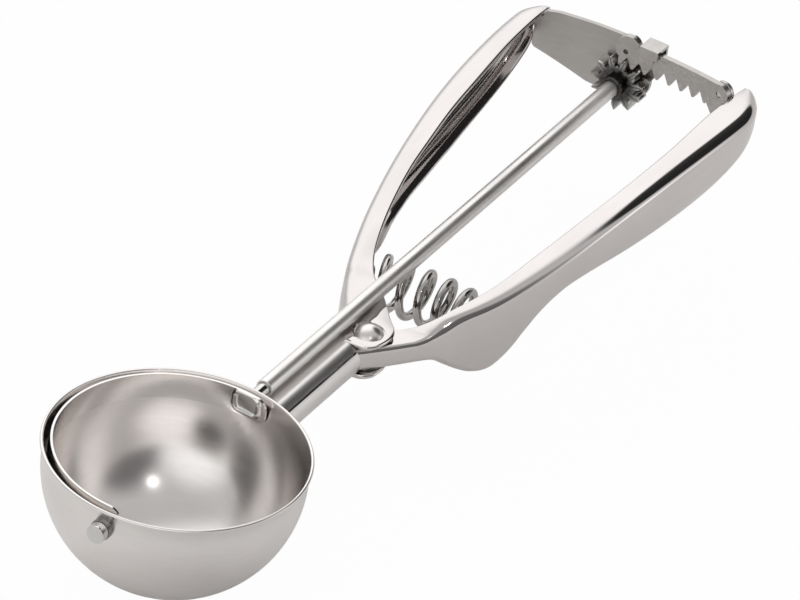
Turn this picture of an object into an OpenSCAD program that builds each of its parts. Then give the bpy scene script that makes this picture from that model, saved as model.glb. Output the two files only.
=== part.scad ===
// Lever ice cream scoop: a pressed bowl on a fixed handle, a second handle that swings on a rivet,
// and a rack, pinion and shaft that carry the squeeze to a scraper blade inside the bowl.
// Millimetres. The origin is the centre of the ball that the bowl shapes, on the shaft's axis.
// +Y runs from the bowl to the handle ends, +X to the moving handle, +Z out of the bowl's mouth.

/* [Bowl] */
// Radius of the ball of ice cream, the inside of the bowl
ball_r = 28; // [20:0.5:35]
// Thickness of the pressed bowl
bowl_t = 0.8; // [0.5:0.1:1.5]
// Height of the rim above the ball's centre
rim_z = 4.7; // [2:0.1:8]
// How far the wall flares outwards from the shaft's height to the rim
rim_flare = 0.65; // [0.1:0.05:1.5]

/* [Scraper] */
// Gap between the round of the bowl and the scraper blade
blade_gap = 0.35; // [0.25:0.05:2]
// Thickness of the scraper blade
blade_t = 0.5; // [0.4:0.1:1.2]
// Height of the blade's upper edge above the shaft's axis at rest
blade_top = 4.8; // [3:0.1:5]
// Depth of the blade's lower edge below the shaft's axis at rest
blade_low = 1.7; // [1.6:0.1:4]
// Radius of the blade's eye round the front pin
eye_r = 3.2; // [2.8:0.1:4]
// Reach of the blade's square rear end past the shaft's axis
rear_x = 6.4; // [5.5:0.1:8]
// Corner radius of the square rear end
rear_r = 2.4; // [1:0.1:3]
// Width of the pocket pressed in the rear end
pocket_w = 5.6; // [4:0.1:6.5]
// Height of the pocket
pocket_h = 4.1; // [3:0.1:4.4]
// Corner radius of the pocket
pocket_r = 1.2; // [0.6:0.1:2]
// Width of the bead round the pocket
bead_w = 0.9; // [0.5:0.1:1.1]
// Height of the bead over the blade
bead_h = 0.7; // [0.4:0.1:1.5]

/* [Pivots of the scraper] */
// Diameter of the front pin and of the spindle
pin_d = 3; // [2:0.1:4]
// Diameter of the bush holes' walls, outside
bush_d = 4; // [3.6:0.1:5]
// Diameter of the bush collars
collar_d = 4.8; // [4.4:0.1:6]
// Height of the bush collars over the bowl
collar_h = 1.1; // [0.5:0.1:2]
// How far the bushes stand into the bowl
bush_in = 0.1; // [0:0.05:0.15]
// Diameter of the front pin's head
pin_head_d = 4.3; // [3.5:0.1:5]
// Length of the front pin's head
pin_head_h = 2.1; // [1:0.1:4]
// Running clearance of a turning fit, on the radius
run_gap = 0.04; // [0.02:0.01:0.1]

/* [Drive shaft] */
// Outside diameter of the shaft tube
shaft_d = 4; // [3:0.1:6]
// Where the tube's mouth lies behind the ball's centre
shaft_y0 = 36.6; // [32:0.1:45]
// How far the tube's end lies inside the pinion's rear face
shaft_in = 0.7; // [0.2:0.1:2]
// How far the spindle and the tail pin reach into the tube
plug_len = 9; // [5:0.5:20]

/* [Neck] */
// Width of the rolled neck
neck_w = 11.2; // [9:0.1:14]
// Height of the rolled neck
neck_h = 8.8; // [7:0.1:12]
// Top of the neck, below the shaft
neck_top = -2.4; // [-4:0.1:-2.3]
// Sideways place of the neck's middle
neck_x = 2; // [0:0.1:4]
// How far before the rivet the neck is cut open for the moving handle
ear_reach = 6.7; // [6.5:0.1:9]
// Thickness of the handle sheet
sheet = 1.1; // [0.8:0.1:1.5]
// Width of the seam along the rolled neck
seam_w = 0.45; // [0.2:0.05:1]
// Angle of the seam above the neck's right side
seam_a = 44; // [20:1:70]

/* [Pivot of the handles] */
// Sideways place of the rivet
rivet_x = 5.2; // [4:0.1:7]
// Place of the rivet behind the ball's centre
rivet_y = 73.5; // [70:0.1:80]
// Diameter of the rivet's shank
rivet_d = 4; // [3:0.1:5]
// Diameter of the rivet's domed head
rivet_head_d = 7; // [6:0.1:9]
// Height of the domed head
rivet_head_h = 2; // [1:0.1:3]
// Wall of the spacer sleeve round the rivet
sleeve_t = 0.8; // [0.6:0.1:1.2]
// Depth of the dish that the domed head sits in
dish_h = 0.3; // [0.1:0.05:0.6]
// Top of the moving handle's neck
moving_top = -3.95; // [-5:0.05:-3.6]
// Bottom of the moving handle's neck
moving_low = -9.65; // [-10:0.05:-8]

/* [Handles] */
// Radius of the channels' outer corners
corner_r = 2.3; // [1.2:0.1:3]
// Length of the fixed handle's round end
fixed_nose = 7.5; // [5:0.5:20]
// Length of the moving handle's round end
moving_nose = 15; // [10:0.5:20]
// How far the handles reach past the front of the end plate
handle_over = 0.95; // [0.5:0.05:3]
// Crown of the handles over the shaft at the far end
grip_top = 9.8; // [6:0.1:12]
// Underside of the handles along the grip
grip_low = -4.3; // [-8:0.1:-2]
// Underside of the finger guard
guard_low = -17; // [-20:0.1:-12]

/* [Handle spring] */
// Outside diameter of the coil
coil_d = 13.4; // [9:0.1:14]
// Diameter of the spring wire
wire_d = 2; // [1.4:0.1:2.4]
// Place of the coil's ends behind the rivet
coil_back = 26.3; // [24:0.1:30]
// How far the coil's middle bows backwards, since the walls slope apart
coil_bow = 2.2; // [0:0.1:4]
// Height of the coil's axis
coil_z = -8.9; // [-10:0.05:-8]
// Turns between the closed ends
coil_turns = 6.5; // [4:0.1:8]
// Diameter of the studs that hold the coil
stud_d = 7; // [4:0.1:8]
// Length of the studs
stud_h = 3; // [1:0.1:5]

/* [Rack and pinion] */
// Teeth of the pinion
pinion_teeth = 11; // [9:1:14]
// Teeth that a whole circle of the rack would have
rack_teeth = 232; // [200:1:260]
// Pressure angle of the teeth
tooth_a = 28; // [20:1:30]
// Play between the teeth
backlash = 0.3; // [0.1:0.05:0.6]
// Length of a tooth beyond the pitch line
addendum = 1.1; // [0.8:0.05:1.4]
// Room between a tooth and the opposite root
tooth_room = 0.3; // [0.1:0.05:0.5]
// How far the pinion's front face lies before the rack's middle
pinion_lead = 1.84; // [1.2:0.02:3]
// Width of the pinion
pinion_w = 4.2; // [3:0.1:6]
// Diameter of the pinion's hub
hub_d = 5.6; // [5:0.1:8]
// Length of the hub in front of the pinion
hub_h = 2.4; // [1:0.1:4]
// Radius of the rack's front face round the rivet
rack_r = 124.6; // [110:0.1:140]
// Thickness of the rack
rack_t = 1.5; // [1:0.1:2.5]
// Top of the rack
rack_top = 11.5; // [10:0.1:14]
// Angle from the rivet to the first tooth of the rack at rest
rack_phase = 0.55; // [0:0.01:1.6]
// Number of cut teeth
rack_cut = 8; // [6:1:12]
// Diameter of the stop disc at the rack's free end
stop_d = 5.5; // [5:0.1:8]
// Thickness of the stop disc
stop_t = 0.7; // [0.5:0.1:1.2]

/* [End plate and guide] */
// Thickness of the end plate and of the bracket
plate_t = 1.2; // [0.8:0.1:2]
// Room between the pinion and the end plate
plate_gap = 0.95; // [0.2:0.05:1.5]
// Width of the guide strap
guide_w = 4.9; // [3:0.1:7]
// Thickness of the guide strap
guide_t = 0.8; // [0.6:0.1:1.5]
// Left edge of the guide strap
guide_x = 4.6; // [3:0.1:7]
// Clearance between the rack and the guide
guide_gap = 0.35; // [0.3:0.05:1]

/* [Hidden] */
$fn = 64;
// the handle's sheet starts inside the neck's wall, this far from both of its faces
neck_lap = 0.3;
neck_y = rivet_y - ear_reach;
coil_y = rivet_y + coil_back;
// the handles' curves are drawn for handles that reach this far behind the rivet
curve_end = 129.5;
// where the ears' full round begins to tighten behind the rivet
ear_back = 4.5;
// where the finger guard ends behind the rivet
guard_end = 38.5;
// the round ends stop just short of a full quarter ellipse, so that the end stays blunt
nose_cut = 0.95;
bowl_r = ball_r + bowl_t;
// how far the full round of the rim stands proud of the wall on each side
rim_proud = 0.01;
blade_r = ball_r - blade_gap;
// the pocket lies in the upper right of the rear end, and the shaft's axis passes through its lower left
pocket_x0 = rear_x - 2.3 - pocket_w;
pocket_z0 = -0.1;
// the bead's flat crown, measured from the blade's face at the pocket's middle
bead_y = sqrt(pow(blade_r - blade_t, 2) - pow(pocket_x0 + pocket_w / 2, 2) - pow(pocket_z0 + pocket_h / 2, 2))
  - bead_h;
// the spindle's flat end touches the back of the blade with its rim
spindle_y0 = sqrt(pow(blade_r, 2) - pow(pin_d / 2, 2));
neck_r = neck_h / 2;
neck_z = neck_top - neck_r;
neck_low = neck_top - neck_h;
ear_under = neck_top - sheet;
ear_floor = neck_low + sheet;
sleeve_d = rivet_d + 2 * sleeve_t;
coil_r = (coil_d - wire_d) / 2;
// the mesh point lies over the shaft, so it sets the rack's pitch arc and the pinion's pitch radius
mesh_r = rack_r + rack_t / 2;
rack_step = 360 / rack_teeth;
pitch = mesh_r * rack_step * PI / 180;
pitch_r = pitch * pinion_teeth / (2 * PI);
mesh_a = asin(-rivet_x / mesh_r);
root_z = pitch_r + addendum + tooth_room;
pinion_y = rivet_y + sqrt(pow(mesh_r, 2) - pow(rivet_x, 2)) - pinion_lead;
shaft_y1 = pinion_y + pinion_w - shaft_in;
// the plate is rolled to an arc round the rivet, as the rack is, so both keep their distance while it swings
plate_r = norm([rivet_x, pinion_y + pinion_w + plate_gap - rivet_y]);
plate_y = rivet_y + sqrt(pow(plate_r, 2) - pow(rivet_x, 2));
handle_y = plate_y + handle_over;
bearing_d = pin_d + 1.6;
bearing_lip = plate_gap - 0.1;
lobe_x = 26.7;
lobe_z = 8.9;
lobe_r = 2.7;
lobe_left_x = 1.3;
lobe_left_z = 9.75;
lobe_left_r = 3.45;
rack_rivet_d = 1.5;
bracket_r = rack_r + rack_t + 0.45;
bracket_t = 0.7;
stop_x = 1.15;
stop_z = 10.1;

// ---- curves of the handles -------------------------------------------------------------------
// Each curve is a list of [distance behind the rivet, value], joined by a smooth spline. Behind the
// finger guard the curves stretch with the handles.

left_wall = [[-11.5, -3.6], [-3.5, -3.6], [4.7, -5.2], [12.2, -8.9], [20.4, -12.4], [28, -14.8], [39.5, -17.9],
  [52.5, -20.8], [65.5, -23.1], [78.5, -25.1], [90.5, -26.5], [102.5, -27.5], [114.5, -28.1], [130.5, -28.2]];
left_edge = [[-11.5, 3], [0.1 - ear_reach, 3], [0.5 - ear_reach, 6.6], [-4.5, 9], [-1.5, 10.1], [2, 10.3], [4.8, 9.2], [7.7, 6.5],
  [11, 3.8], [14.3, 0.9], [16.5, -1.8], [18.7, -4.3], [22.5, -6.9], [26.7, -8.8], [34.5, -11.2], [42.5, -13.3],
  [52.5, -15.4], [63.5, -16.9], [76.5, -18.6], [89.5, -19.8], [106.5, -21.5], [116.5, -22.1], [130.5, -22.6]];
left_lip = [[-11.5, 6.6], [0.1 - ear_reach, 6.6], [0.5 - ear_reach, 10.2], [-4.5, 12.6], [-1.5, 13.7], [2, 14.1], [4.8, 13.4],
  [7.7, 11.8], [11, 7], [14.5, 3.2], [19.5, 1.8], [25.5, 1.3], [30.5, 1.3], [33, 1.6],
  [35.5, 3.2], [38.5, 4.4], [43.5, 4.8], [54.5, 5.7],
  [67.5, 6.3], [86.5, 6.2], [118.5, 5.7], [122, 5.4], [124.2, 4.6], [126.3, 2.7], [130.5, 2]];
left_top = [[-11.5, neck_top], [10.5, neck_top], [15.1, neck_top], [17, neck_top + 0.4], [19, neck_top + 1.2], [22.5, -0.2],
  [27.5, 1.6], [32.5, 3], [39.5, 4.1], [52.5, 6], [65.5, 7.7], [78.5, 8.8], [90.5, 9.4], [102.5, grip_top - 0.1],
  [116.5, grip_top], [124.5, grip_top - 0.2], [130.5, grip_top - 0.8]];
right_wall = [[-6.3, 6.4], [-2.5, 9.3], [2.3, 12.8], [7, 16], [10.5, 18.1], [15.1, 20.5], [24, 24.4],
  [34.5, 27.5], [46.5, 30.2], [59.5, 32.4], [72.5, 34.2], [87.5, 35.8], [101.5, 37], [114.5, 37.8], [130.5, 38]];
right_edge = [[-6.3, 4.9], [-5.3, 3.4], [-3.5, 1.6], [-1.5, 0.6], [0.3, 0.4], [2.1, 0.9], [3.8, 2.4],
  [5.3, 5.2], [6.7, 8.2], [8.5, 11], [10.8, 13.6], [14.5, 16.3], [22.2, 19.2], [29.5, 21.2], [38.5, 22.8],
  [56.5, 25.6], [74.5, 27.9], [93.5, 29.2], [113.5, 29.2], [122.5, 29.6], [130.5, 30.1]];
right_lip = [[-6.3, 1.5], [-5.3, 3.8], [-3.5, 7], [-1.5, 9.5], [0.3, 11], [2.1, 11.8], [3.8, 11.5],
  [5.3, 9.7], [6.7, 7.6], [8.5, 5.6], [11.5, 3.6], [15.5, 2.2], [20.5, 1.5], [25.5, 1.3], [30.5, 1.3], [33, 1.6],
  [35.5, 3.2], [38.5, 4.4], [43.5, 4.8],
  [54.5, 5.7], [67.5, 6.3], [86.5, 6.2], [130.5, 5.6]];
right_top = [[-6.3, moving_top], [4.5, moving_top], [5.9, moving_top], [8, -3.4], [10.9, -1.8], [15.1, 0.2], [21.5, 1.3],
  [27.5, 2.2], [34.5, 3.3], [46.5, 5.1], [59.5, 6.9], [72.5, 8.3], [87.5, 9.3], [101.5, grip_top - 0.1],
  [116.5, grip_top], [124.5, grip_top - 0.2], [130.5, grip_top - 0.8]];
// the underside: flat under the neck, down round the finger guard, along the grip and up to the round end
function underside(start) = [[-11.5, start], [4.5, start], [6.5, start], [10, start - 0.5], [13, -12.2], [16.1, -14.4],
  [20, -16.5], [24.7, guard_low], [29.7, -14.5], [33.7, -11.3], [37.7, -8.2], [41.9, -6], [47.5, -4.4],
  [56.5, -4], [71.5, grip_low], [84.5, grip_low], [99, -3.7], [108.5, -2.5], [115.5, -0.7], [121.5, 1.8],
  [126.5, 4.2], [130.5, 6.4]];
left_low = underside(neck_low);
right_low = underside(moving_low);

function span(c, y, i = 0) = i >= len(c) - 2 || y <= c[i + 1][0] ? i : span(c, y, i + 1);
function rise(c, i) = (c[min(i + 1, len(c) - 1)][1] - c[max(i - 1, 0)][1])
  / (c[min(i + 1, len(c) - 1)][0] - c[max(i - 1, 0)][0]);
function drawn(y) = y - rivet_y <= guard_end ? y - rivet_y
  : guard_end + (y - rivet_y - guard_end) * (curve_end - guard_end) / (handle_y - rivet_y - guard_end);
function spline(c, y) = let (t = drawn(y), i = span(c, t), h = c[i + 1][0] - c[i][0],
    s = min(1, max(0, (t - c[i][0]) / h)))
  c[i][1] * (1 + 2 * s) * pow(1 - s, 2) + c[i + 1][1] * s * s * (3 - 2 * s)
  + h * s * (1 - s) * (rise(c, i) * (1 - s) - rise(c, i + 1) * s);

// the round end in plan: full width up to its start, then a quarter of an ellipse cut blunt
function nose_start(nose) = handle_y - nose * nose_cut;
function round_end(y, start, a) = y <= start ? 1 : sqrt(max(0, 1 - pow((y - start) / a, 2)));
function nose_stations(nose) = [for (k = [0 : 7]) nose_start(nose) + nose * nose_cut * sin(k * 90 / 7)];

// One section of a channel, open towards the other handle. side is 1 for a wall on the right.
// wall, edge: wall's outer face and top flange's edge; lip: width of the bottom flange; skin: sheet
function channel(side, wall, edge, lip, top, low, skin, rt, rb, nose, y) = let (
    start = nose_start(nose),
    d = abs(wall - edge) * round_end(y, start, nose),
    di = max(0.3, (abs(wall - edge) - skin * 1.12) * round_end(y, start, nose - skin)),
    w = edge + side * d,
    wi = edge + side * di,
    lp = min(lip, d),
    li = max(0.25, lp - (d - di)),
    half = (top - low) / 2 - 0.05,
    ro = min(rt, d * 0.9, half),
    ru = min(rb, lp * 0.9, half),
    ri = max(0.03, min(ro - skin * 0.8, di * 0.75, half - skin)),
    rj = max(0.03, min(ru - skin * 0.8, li * 0.75, half - skin)),
    bx = w - side * lp,
    bi = wi - side * li)
  concat(
    [[edge, top - skin * 0.3], [edge + side * min(skin * 0.3, d * 0.08), top]],
    [for (k = [0 : 4]) [w - side * ro * (1 - sin(k * 22.5)), top - ro * (1 - cos(k * 22.5))]],
    [for (k = [0 : 4]) [w - side * ru * (1 - cos(k * 22.5)), low + ru * (1 - sin(k * 22.5))]],
    [[bx + side * min(skin * 0.3, lp * 0.08), low], [bx, low + skin * 0.3]],
    [[bi, low + skin * 0.7], [bi + side * min(0.12, li * 0.2), low + skin]],
    [for (k = [4 : -1 : 0]) [wi - side * rj * (1 - cos(k * 22.5)), low + skin + rj * (1 - sin(k * 22.5))]],
    [for (k = [4 : -1 : 0]) [wi - side * ri * (1 - sin(k * 22.5)), top - skin - ri * (1 - cos(k * 22.5))]],
    [[edge + side * min(0.12, di * 0.2), top - skin], [edge, top - skin * 0.7]]);

// A closed solid through sections of equal length, each a list of [x, z] at its own distance y.
module loft(ys, sections, flip = false) {
  n = len(sections[0]);
  m = len(ys);
  points = [for (i = [0 : m - 1]) for (p = sections[i]) [p[0], ys[i], p[1]]];
  skin_faces = [for (i = [0 : m - 2]) for (k = [0 : n - 1]) let (a = i * n + k, b = i * n + (k + 1) % n)
    each [[a, b, b + n], [a, b + n, a + n]]];
  // each end is closed by a strip between the section's outer and inner halves
  first = [for (k = [0 : n / 2 - 2]) each [[k + 1, k, n - 1 - k], [k + 1, n - 1 - k, n - 2 - k]]];
  last = [for (f = first) [for (k = [2 : -1 : 0]) (m - 1) * n + f[k]]];
  faces = concat(skin_faces, first, last);
  polyhedron(points = points, faces = flip ? faces : [for (f = faces) [for (k = [len(f) - 1 : -1 : 0]) f[k]]]);
}

// ---- bowl and scraper ------------------------------------------------------------------------

// the wall above the shaft's height: between two arcs that leave the ball upright and flare outwards
module flared_wall() {
  low_z = rim_z - bowl_t / 2;
  flare_r = (pow(low_z, 2) + pow(rim_flare, 2)) / (2 * rim_flare);
  intersection() {
    translate([ball_r, 0]) square([bowl_t + 2 * rim_flare, low_z]);
    difference() {
      translate([ball_r + flare_r, 0]) circle(r = flare_r);
      translate([bowl_r + flare_r, 0]) circle(r = flare_r);
    }
  }
  translate([ball_r + rim_flare + bowl_t / 2, low_z]) circle(d = bowl_t + 2 * rim_proud);
}

// half a ball below the shaft's height; above it the wall flares a little and ends in a full round
module bowl() color("Gainsboro") difference() {
  rotate_extrude() {
    difference() {
      intersection() {
        circle(r = bowl_r);
        translate([0, -bowl_r]) square(bowl_r);
      }
      circle(r = ball_r);
    }
    flared_wall();
  }
  along_shaft(-bowl_r - 1, 0) circle(d = bush_d);
  along_shaft(0, bowl_r + 1) circle(d = bush_d);
}

// a prism along the shaft, from one distance to another, of a shape drawn in x and z
module along_shaft(y0, y1) translate([0, y1, 0]) rotate([90, 0, 0]) linear_extrude(height = y1 - y0) children();

// a rectangle with round corners, from one corner to the other
module round_rect(x0, z0, x1, z1, r) union() {
  translate([x0 + r, z0]) square([x1 - x0 - 2 * r, z1 - z0]);
  translate([x0, z0 + r]) square([x1 - x0, z1 - z0 - 2 * r]);
  for (x = [x0 + r, x1 - r], z = [z0 + r, z1 - r]) translate([x, z]) circle(r = r);
}

// the blade is a slice of a hollow ball: a hoop along the bowl's left half, with an eye round the front
// pin and a square end at the rear, where a bead runs round the pocket that the spindle is welded behind
module scraper_blade() color("Silver") difference() {
  union() {
    intersection() {
      difference() {
        sphere(r = blade_r);
        sphere(r = blade_r - blade_t);
      }
      union() {
        along_shaft(-blade_r, blade_r) translate([-blade_r, -blade_low]) square([blade_r, blade_top + blade_low]);
        along_shaft(-blade_r, 0) {
          circle(r = eye_r);
          translate([0, (blade_top - blade_low) / 2]) circle(d = blade_top + blade_low);
        }
        along_shaft(0, blade_r) round_rect(-rear_x, -blade_low, rear_x, blade_top, rear_r);
      }
    }
    intersection() {
      sphere(r = blade_r - blade_t / 2);
      along_shaft(bead_y, blade_r) difference() {
        round_rect(pocket_x0 - bead_w, pocket_z0 - bead_w, pocket_x0 + pocket_w + bead_w,
          pocket_z0 + pocket_h + bead_w, pocket_r + bead_w);
        round_rect(pocket_x0, pocket_z0, pocket_x0 + pocket_w, pocket_z0 + pocket_h, pocket_r);
      }
    }
  }
  along_shaft(-blade_r - 1, 0) circle(d = pin_d);
}

// a bush with a collar outside the bowl; end is 1 at the rear and -1 at the front
module bowl_bush(end) mirror([0, end > 0 ? 0 : 1, 0]) difference() {
  union() {
    along_shaft(ball_r - bush_in, bowl_r + collar_h) circle(d = bush_d);
    difference() {
      along_shaft(bowl_r - 0.5, bowl_r + collar_h) circle(d = collar_d);
      sphere(r = bowl_r, $fn = 256);
    }
  }
  along_shaft(ball_r - 1, bowl_r + collar_h + 1) circle(d = pin_d + 2 * run_gap);
}

module front_pivot_bush() color("DimGray") bowl_bush(-1);

module rear_pivot_bush() color("DimGray") bowl_bush(1);

module front_pivot_pin() color("WhiteSmoke") {
  head_y = bowl_r + collar_h + 0.05;
  inner_y = blade_r - blade_t;
  rotate([90, 0, 0]) rotate_extrude() polygon([[0, inner_y - 0.8], [pin_d / 2, inner_y - 0.8],
    [pin_d / 2 + 0.5, inner_y - 0.5], [pin_d / 2 + 0.5, inner_y], [pin_d / 2, inner_y], [pin_d / 2, head_y],
    [pin_head_d / 2 - 0.2, head_y], [pin_head_d / 2, head_y + 0.2], [pin_head_d / 2, head_y + pin_head_h - 0.35],
    [pin_head_d / 2 - 0.35, head_y + pin_head_h], [0, head_y + pin_head_h]]);
}

// the spindle is pressed into the tube's mouth, and its flat end is welded to the back of the blade
module blade_spindle() color("WhiteSmoke") rotate([-90, 0, 0]) rotate_extrude()
  polygon([[0, spindle_y0], [pin_d / 2, spindle_y0], [pin_d / 2, shaft_y0 + plug_len - 0.4],
    [pin_d / 2 - 0.4, shaft_y0 + plug_len], [0, shaft_y0 + plug_len]]);

// ---- shaft -----------------------------------------------------------------------------------

module drive_shaft() color("Silver") difference() {
  along_shaft(shaft_y0, shaft_y1) circle(d = shaft_d);
  along_shaft(shaft_y0 - 1, shaft_y1 + 1) circle(d = pin_d);
}

module tail_pin() color("WhiteSmoke") {
  back_y = plate_y + plate_t + 0.35;
  rotate([-90, 0, 0]) rotate_extrude() polygon([[0, shaft_y1 - plug_len], [pin_d / 2 - 0.4, shaft_y1 - plug_len],
    [pin_d / 2, shaft_y1 - plug_len + 0.4], [pin_d / 2, back_y + 0.6], [pin_d / 2 + 0.8, back_y + 0.6],
    [pin_d / 2 + 0.8, back_y + 1], [pin_d / 2 + 0.2, back_y + 1.5], [0, back_y + 1.6]]);
}

module tail_washer() color("Silver") {
  back_y = plate_y + plate_t + 0.35;
  along_shaft(back_y, back_y + 0.55) difference() {
    circle(d = pin_d + 3);
    circle(d = pin_d);
  }
}

// ---- fixed handle ----------------------------------------------------------------------------

// the rolled neck in section: a flattened tube with a seam on its upper right
module neck_outline(inset) {
  reach = neck_w / 2 - neck_r;
  union() {
    for (end = [-1, 1]) translate([neck_x + end * reach, neck_z]) circle(r = neck_r - inset);
    translate([neck_x, neck_z]) square([2 * reach, neck_h - 2 * inset], center = true);
  }
}

module neck() difference() {
  along_shaft(ball_r - 4, neck_y) difference() {
    neck_outline(0);
    neck_outline(sheet);
    translate([neck_x + neck_w / 2 - neck_r, neck_z]) rotate([0, 0, seam_a])
      translate([neck_r / 2, -seam_w / 2]) square([neck_r, seam_w]);
  }
  sphere(r = bowl_r);
}

// close sections round the ears and the finger guard, wide ones along the grip
function far_stations(nose) = concat([for (y = [rivet_y + 20.1 : 2 : rivet_y + guard_end + 2]) y],
  [for (y = [rivet_y + guard_end + 5 : 7 : nose_start(nose) - 3]) y], nose_stations(nose));
fixed_stations = concat([neck_y - 4.8, neck_y + 0.1], [for (y = [neck_y + 0.6 : 1.3 : rivet_y + 18.5]) y],
  far_stations(fixed_nose));

module fixed_handle() color("Gainsboro") difference() {
  union() {
    neck();
    loft(fixed_stations, [for (y = fixed_stations) let (inset = y < neck_y + 0.2 ? neck_lap : 0,
      past = max(0, y - rivet_y - ear_back),
      rt = max(corner_r, neck_r - inset - past * 0.15),
      rb = max(2, neck_r - inset - past * 0.3))
      channel(-1, spline(left_wall, y) + inset, spline(left_edge, y), spline(left_lip, y),
        spline(left_top, y) - inset, spline(left_low, y) + inset, sheet - 2 * inset, rt, rb, fixed_nose, y)], true);
  }
  translate([rivet_x, rivet_y, neck_low - 1]) cylinder(d = rivet_d, h = neck_h + 2);
  translate([rivet_x, rivet_y, neck_top - dish_h]) cylinder(d = rivet_head_d + 0.6, h = 1);
  translate([rivet_x, rivet_y, neck_low - 1]) cylinder(d = rivet_head_d + 0.6, h = 1 + dish_h);
}

// ---- moving handle ---------------------------------------------------------------------------

moving_stations = concat([rivet_y - 6.3, rivet_y - 5.8], [for (y = [rivet_y - 5.1 : 1.1 : rivet_y + 18.5]) y],
  far_stations(moving_nose));

module moving_handle() color("Gainsboro") difference() {
  loft(moving_stations, [for (y = moving_stations) channel(1, spline(right_wall, y), spline(right_edge, y),
    spline(right_lip, y), spline(right_top, y), spline(right_low, y), sheet,
    y < rivet_y + 8.5 ? 1.4 : corner_r, 1.4, moving_nose, y)]);
  translate([rivet_x, rivet_y, neck_low]) cylinder(d = sleeve_d + 2 * run_gap, h = neck_h);
}

// ---- pivot -----------------------------------------------------------------------------------

module pivot_rivet() color("WhiteSmoke") translate([rivet_x, rivet_y, 0]) {
  seat = neck_top - dish_h;
  foot = neck_low + dish_h;
  dome_r = (pow(rivet_head_d / 2, 2) + pow(rivet_head_h, 2)) / (2 * rivet_head_h);
  translate([0, 0, foot - 0.1]) cylinder(d = rivet_d, h = seat - foot + 0.2);
  intersection() {
    translate([0, 0, seat + rivet_head_h - dome_r]) sphere(r = dome_r);
    translate([0, 0, seat]) cylinder(d = rivet_head_d, h = rivet_head_h + 1);
  }
  translate([0, 0, foot - 0.9]) cylinder(d = rivet_head_d, h = 0.9);
}

module pivot_sleeve() color("DarkGray") translate([rivet_x, rivet_y, ear_floor]) difference() {
  cylinder(d = sleeve_d, h = ear_under - ear_floor);
  translate([0, 0, -1]) cylinder(d = rivet_d, h = neck_h);
}

module shim(z0, z1) translate([rivet_x, rivet_y, z0]) difference() {
  cylinder(d = sleeve_d + 2.6, h = z1 - z0);
  translate([0, 0, -1]) cylinder(d = sleeve_d, h = z1 - z0 + 2);
}

module upper_pivot_washer() color("DarkGray") shim(moving_top + 0.05, ear_under);

module lower_pivot_washer() color("DarkGray") shim(ear_floor, moving_low - 0.05);

// ---- handle spring ---------------------------------------------------------------------------

// the coil's ends lie square on the sloping walls, so its axis is a shallow arc
coil_seat = sheet * 1.12 + 0.35;
coil_x0 = spline(left_wall, coil_y) + coil_seat;
coil_x1 = spline(right_wall, coil_y) - coil_seat;
end_turns = 0.3;
end_pitch = wire_d * 1.05;
coil_start = -11;
all_turns = coil_turns + 2 * end_turns;
coil_len = coil_x1 - coil_x0 - wire_d;
// the wire's ends lie flat against the walls, the turns between them share the rest
function coil_run(t) = t < end_turns ? t * end_pitch
  : t > all_turns - end_turns ? coil_len - (all_turns - t) * end_pitch
  : end_turns * end_pitch + (t - end_turns) * (coil_len - 2 * end_turns * end_pitch) / coil_turns;
// t: turns from the fixed end; a: angle round the wire
function coil_point(t, a) = let (rho = coil_r + wire_d / 2 * cos(a), q = t * 360 + coil_start,
    s = 2 * coil_run(t) / coil_len - 1,
    lean = atan(-4 * coil_bow * s / coil_len),
    side = rho * cos(q),
    along = wire_d / 2 * sin(a))
  [coil_x0 + wire_d / 2 + coil_run(t) + along * cos(lean) - side * sin(lean),
    coil_y + coil_bow * (1 - s * s) + along * sin(lean) + side * cos(lean),
    coil_z + rho * sin(q)];

module handle_spring() color("Silver") {
  sides = 8;
  steps = round(all_turns * 18);
  points = [for (i = [0 : steps]) for (k = [0 : sides - 1]) coil_point(i * all_turns / steps, k * 360 / sides)];
  faces = concat([[for (k = [sides - 1 : -1 : 0]) k]],
    [for (i = [0 : steps - 1]) for (k = [0 : sides - 1]) let (a = i * sides + k, b = i * sides + (k + 1) % sides)
      each [[a, b, b + sides], [a, b + sides, a + sides]]],
    [[for (k = [0 : sides - 1]) steps * sides + k]]);
  polyhedron(points = points, faces = faces);
}

module stud(curve, side, tip) {
  base = spline(curve, coil_y) - side * (sheet * 1.12 + 0.06);
  lean = atan((spline(curve, coil_y + stud_d / 2) - spline(curve, coil_y - stud_d / 2)) / stud_d);
  difference() {
    translate([tip, coil_y, coil_z]) rotate([0, side * 90, 0]) cylinder(d = stud_d, h = 12);
    translate([base, coil_y, coil_z]) rotate([0, 0, -lean]) translate([side * 10, 0, 0])
      cube(20, center = true);
  }
}

module fixed_spring_stud() color("DarkGray") stud(left_wall, -1, coil_x0 + stud_h);

module moving_spring_stud() color("DarkGray") stud(right_wall, 1, coil_x1 - stud_h);

// ---- rack and pinion -------------------------------------------------------------------------

function inv(a) = tan(a) * 180 / PI - a;
base_r = pitch_r * cos(tooth_a);
tip_r = pitch_r + addendum;
foot_r = pitch_r - addendum - tooth_room;
half_tooth = 90 / pinion_teeth - backlash / 2 / pitch_r * 180 / PI + inv(tooth_a);
// the flanks are involutes up to the crest, which is rounded over to the tip
crest_r = tip_r - 0.45;
function flank_angle(r) = half_tooth - inv(acos(base_r / r));
// half a tooth as [radius, angle from its middle], from the root to the crest
half_profile = concat([[foot_r, half_tooth]],
  [for (k = [0 : 4]) let (r = base_r + 0.02 + (crest_r - base_r - 0.02) * k / 4) [r, flank_angle(r)]],
  [[crest_r + 0.3, flank_angle(crest_r) * 0.6]]);
function pinion_tooth(a) = concat([for (p = half_profile) [p[0], a - p[1]]], [[tip_r, a]],
  [for (k = [len(half_profile) - 1 : -1 : 0]) [half_profile[k][0], a + half_profile[k][1]]],
  [[foot_r, a + 180 / pinion_teeth]]);

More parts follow.
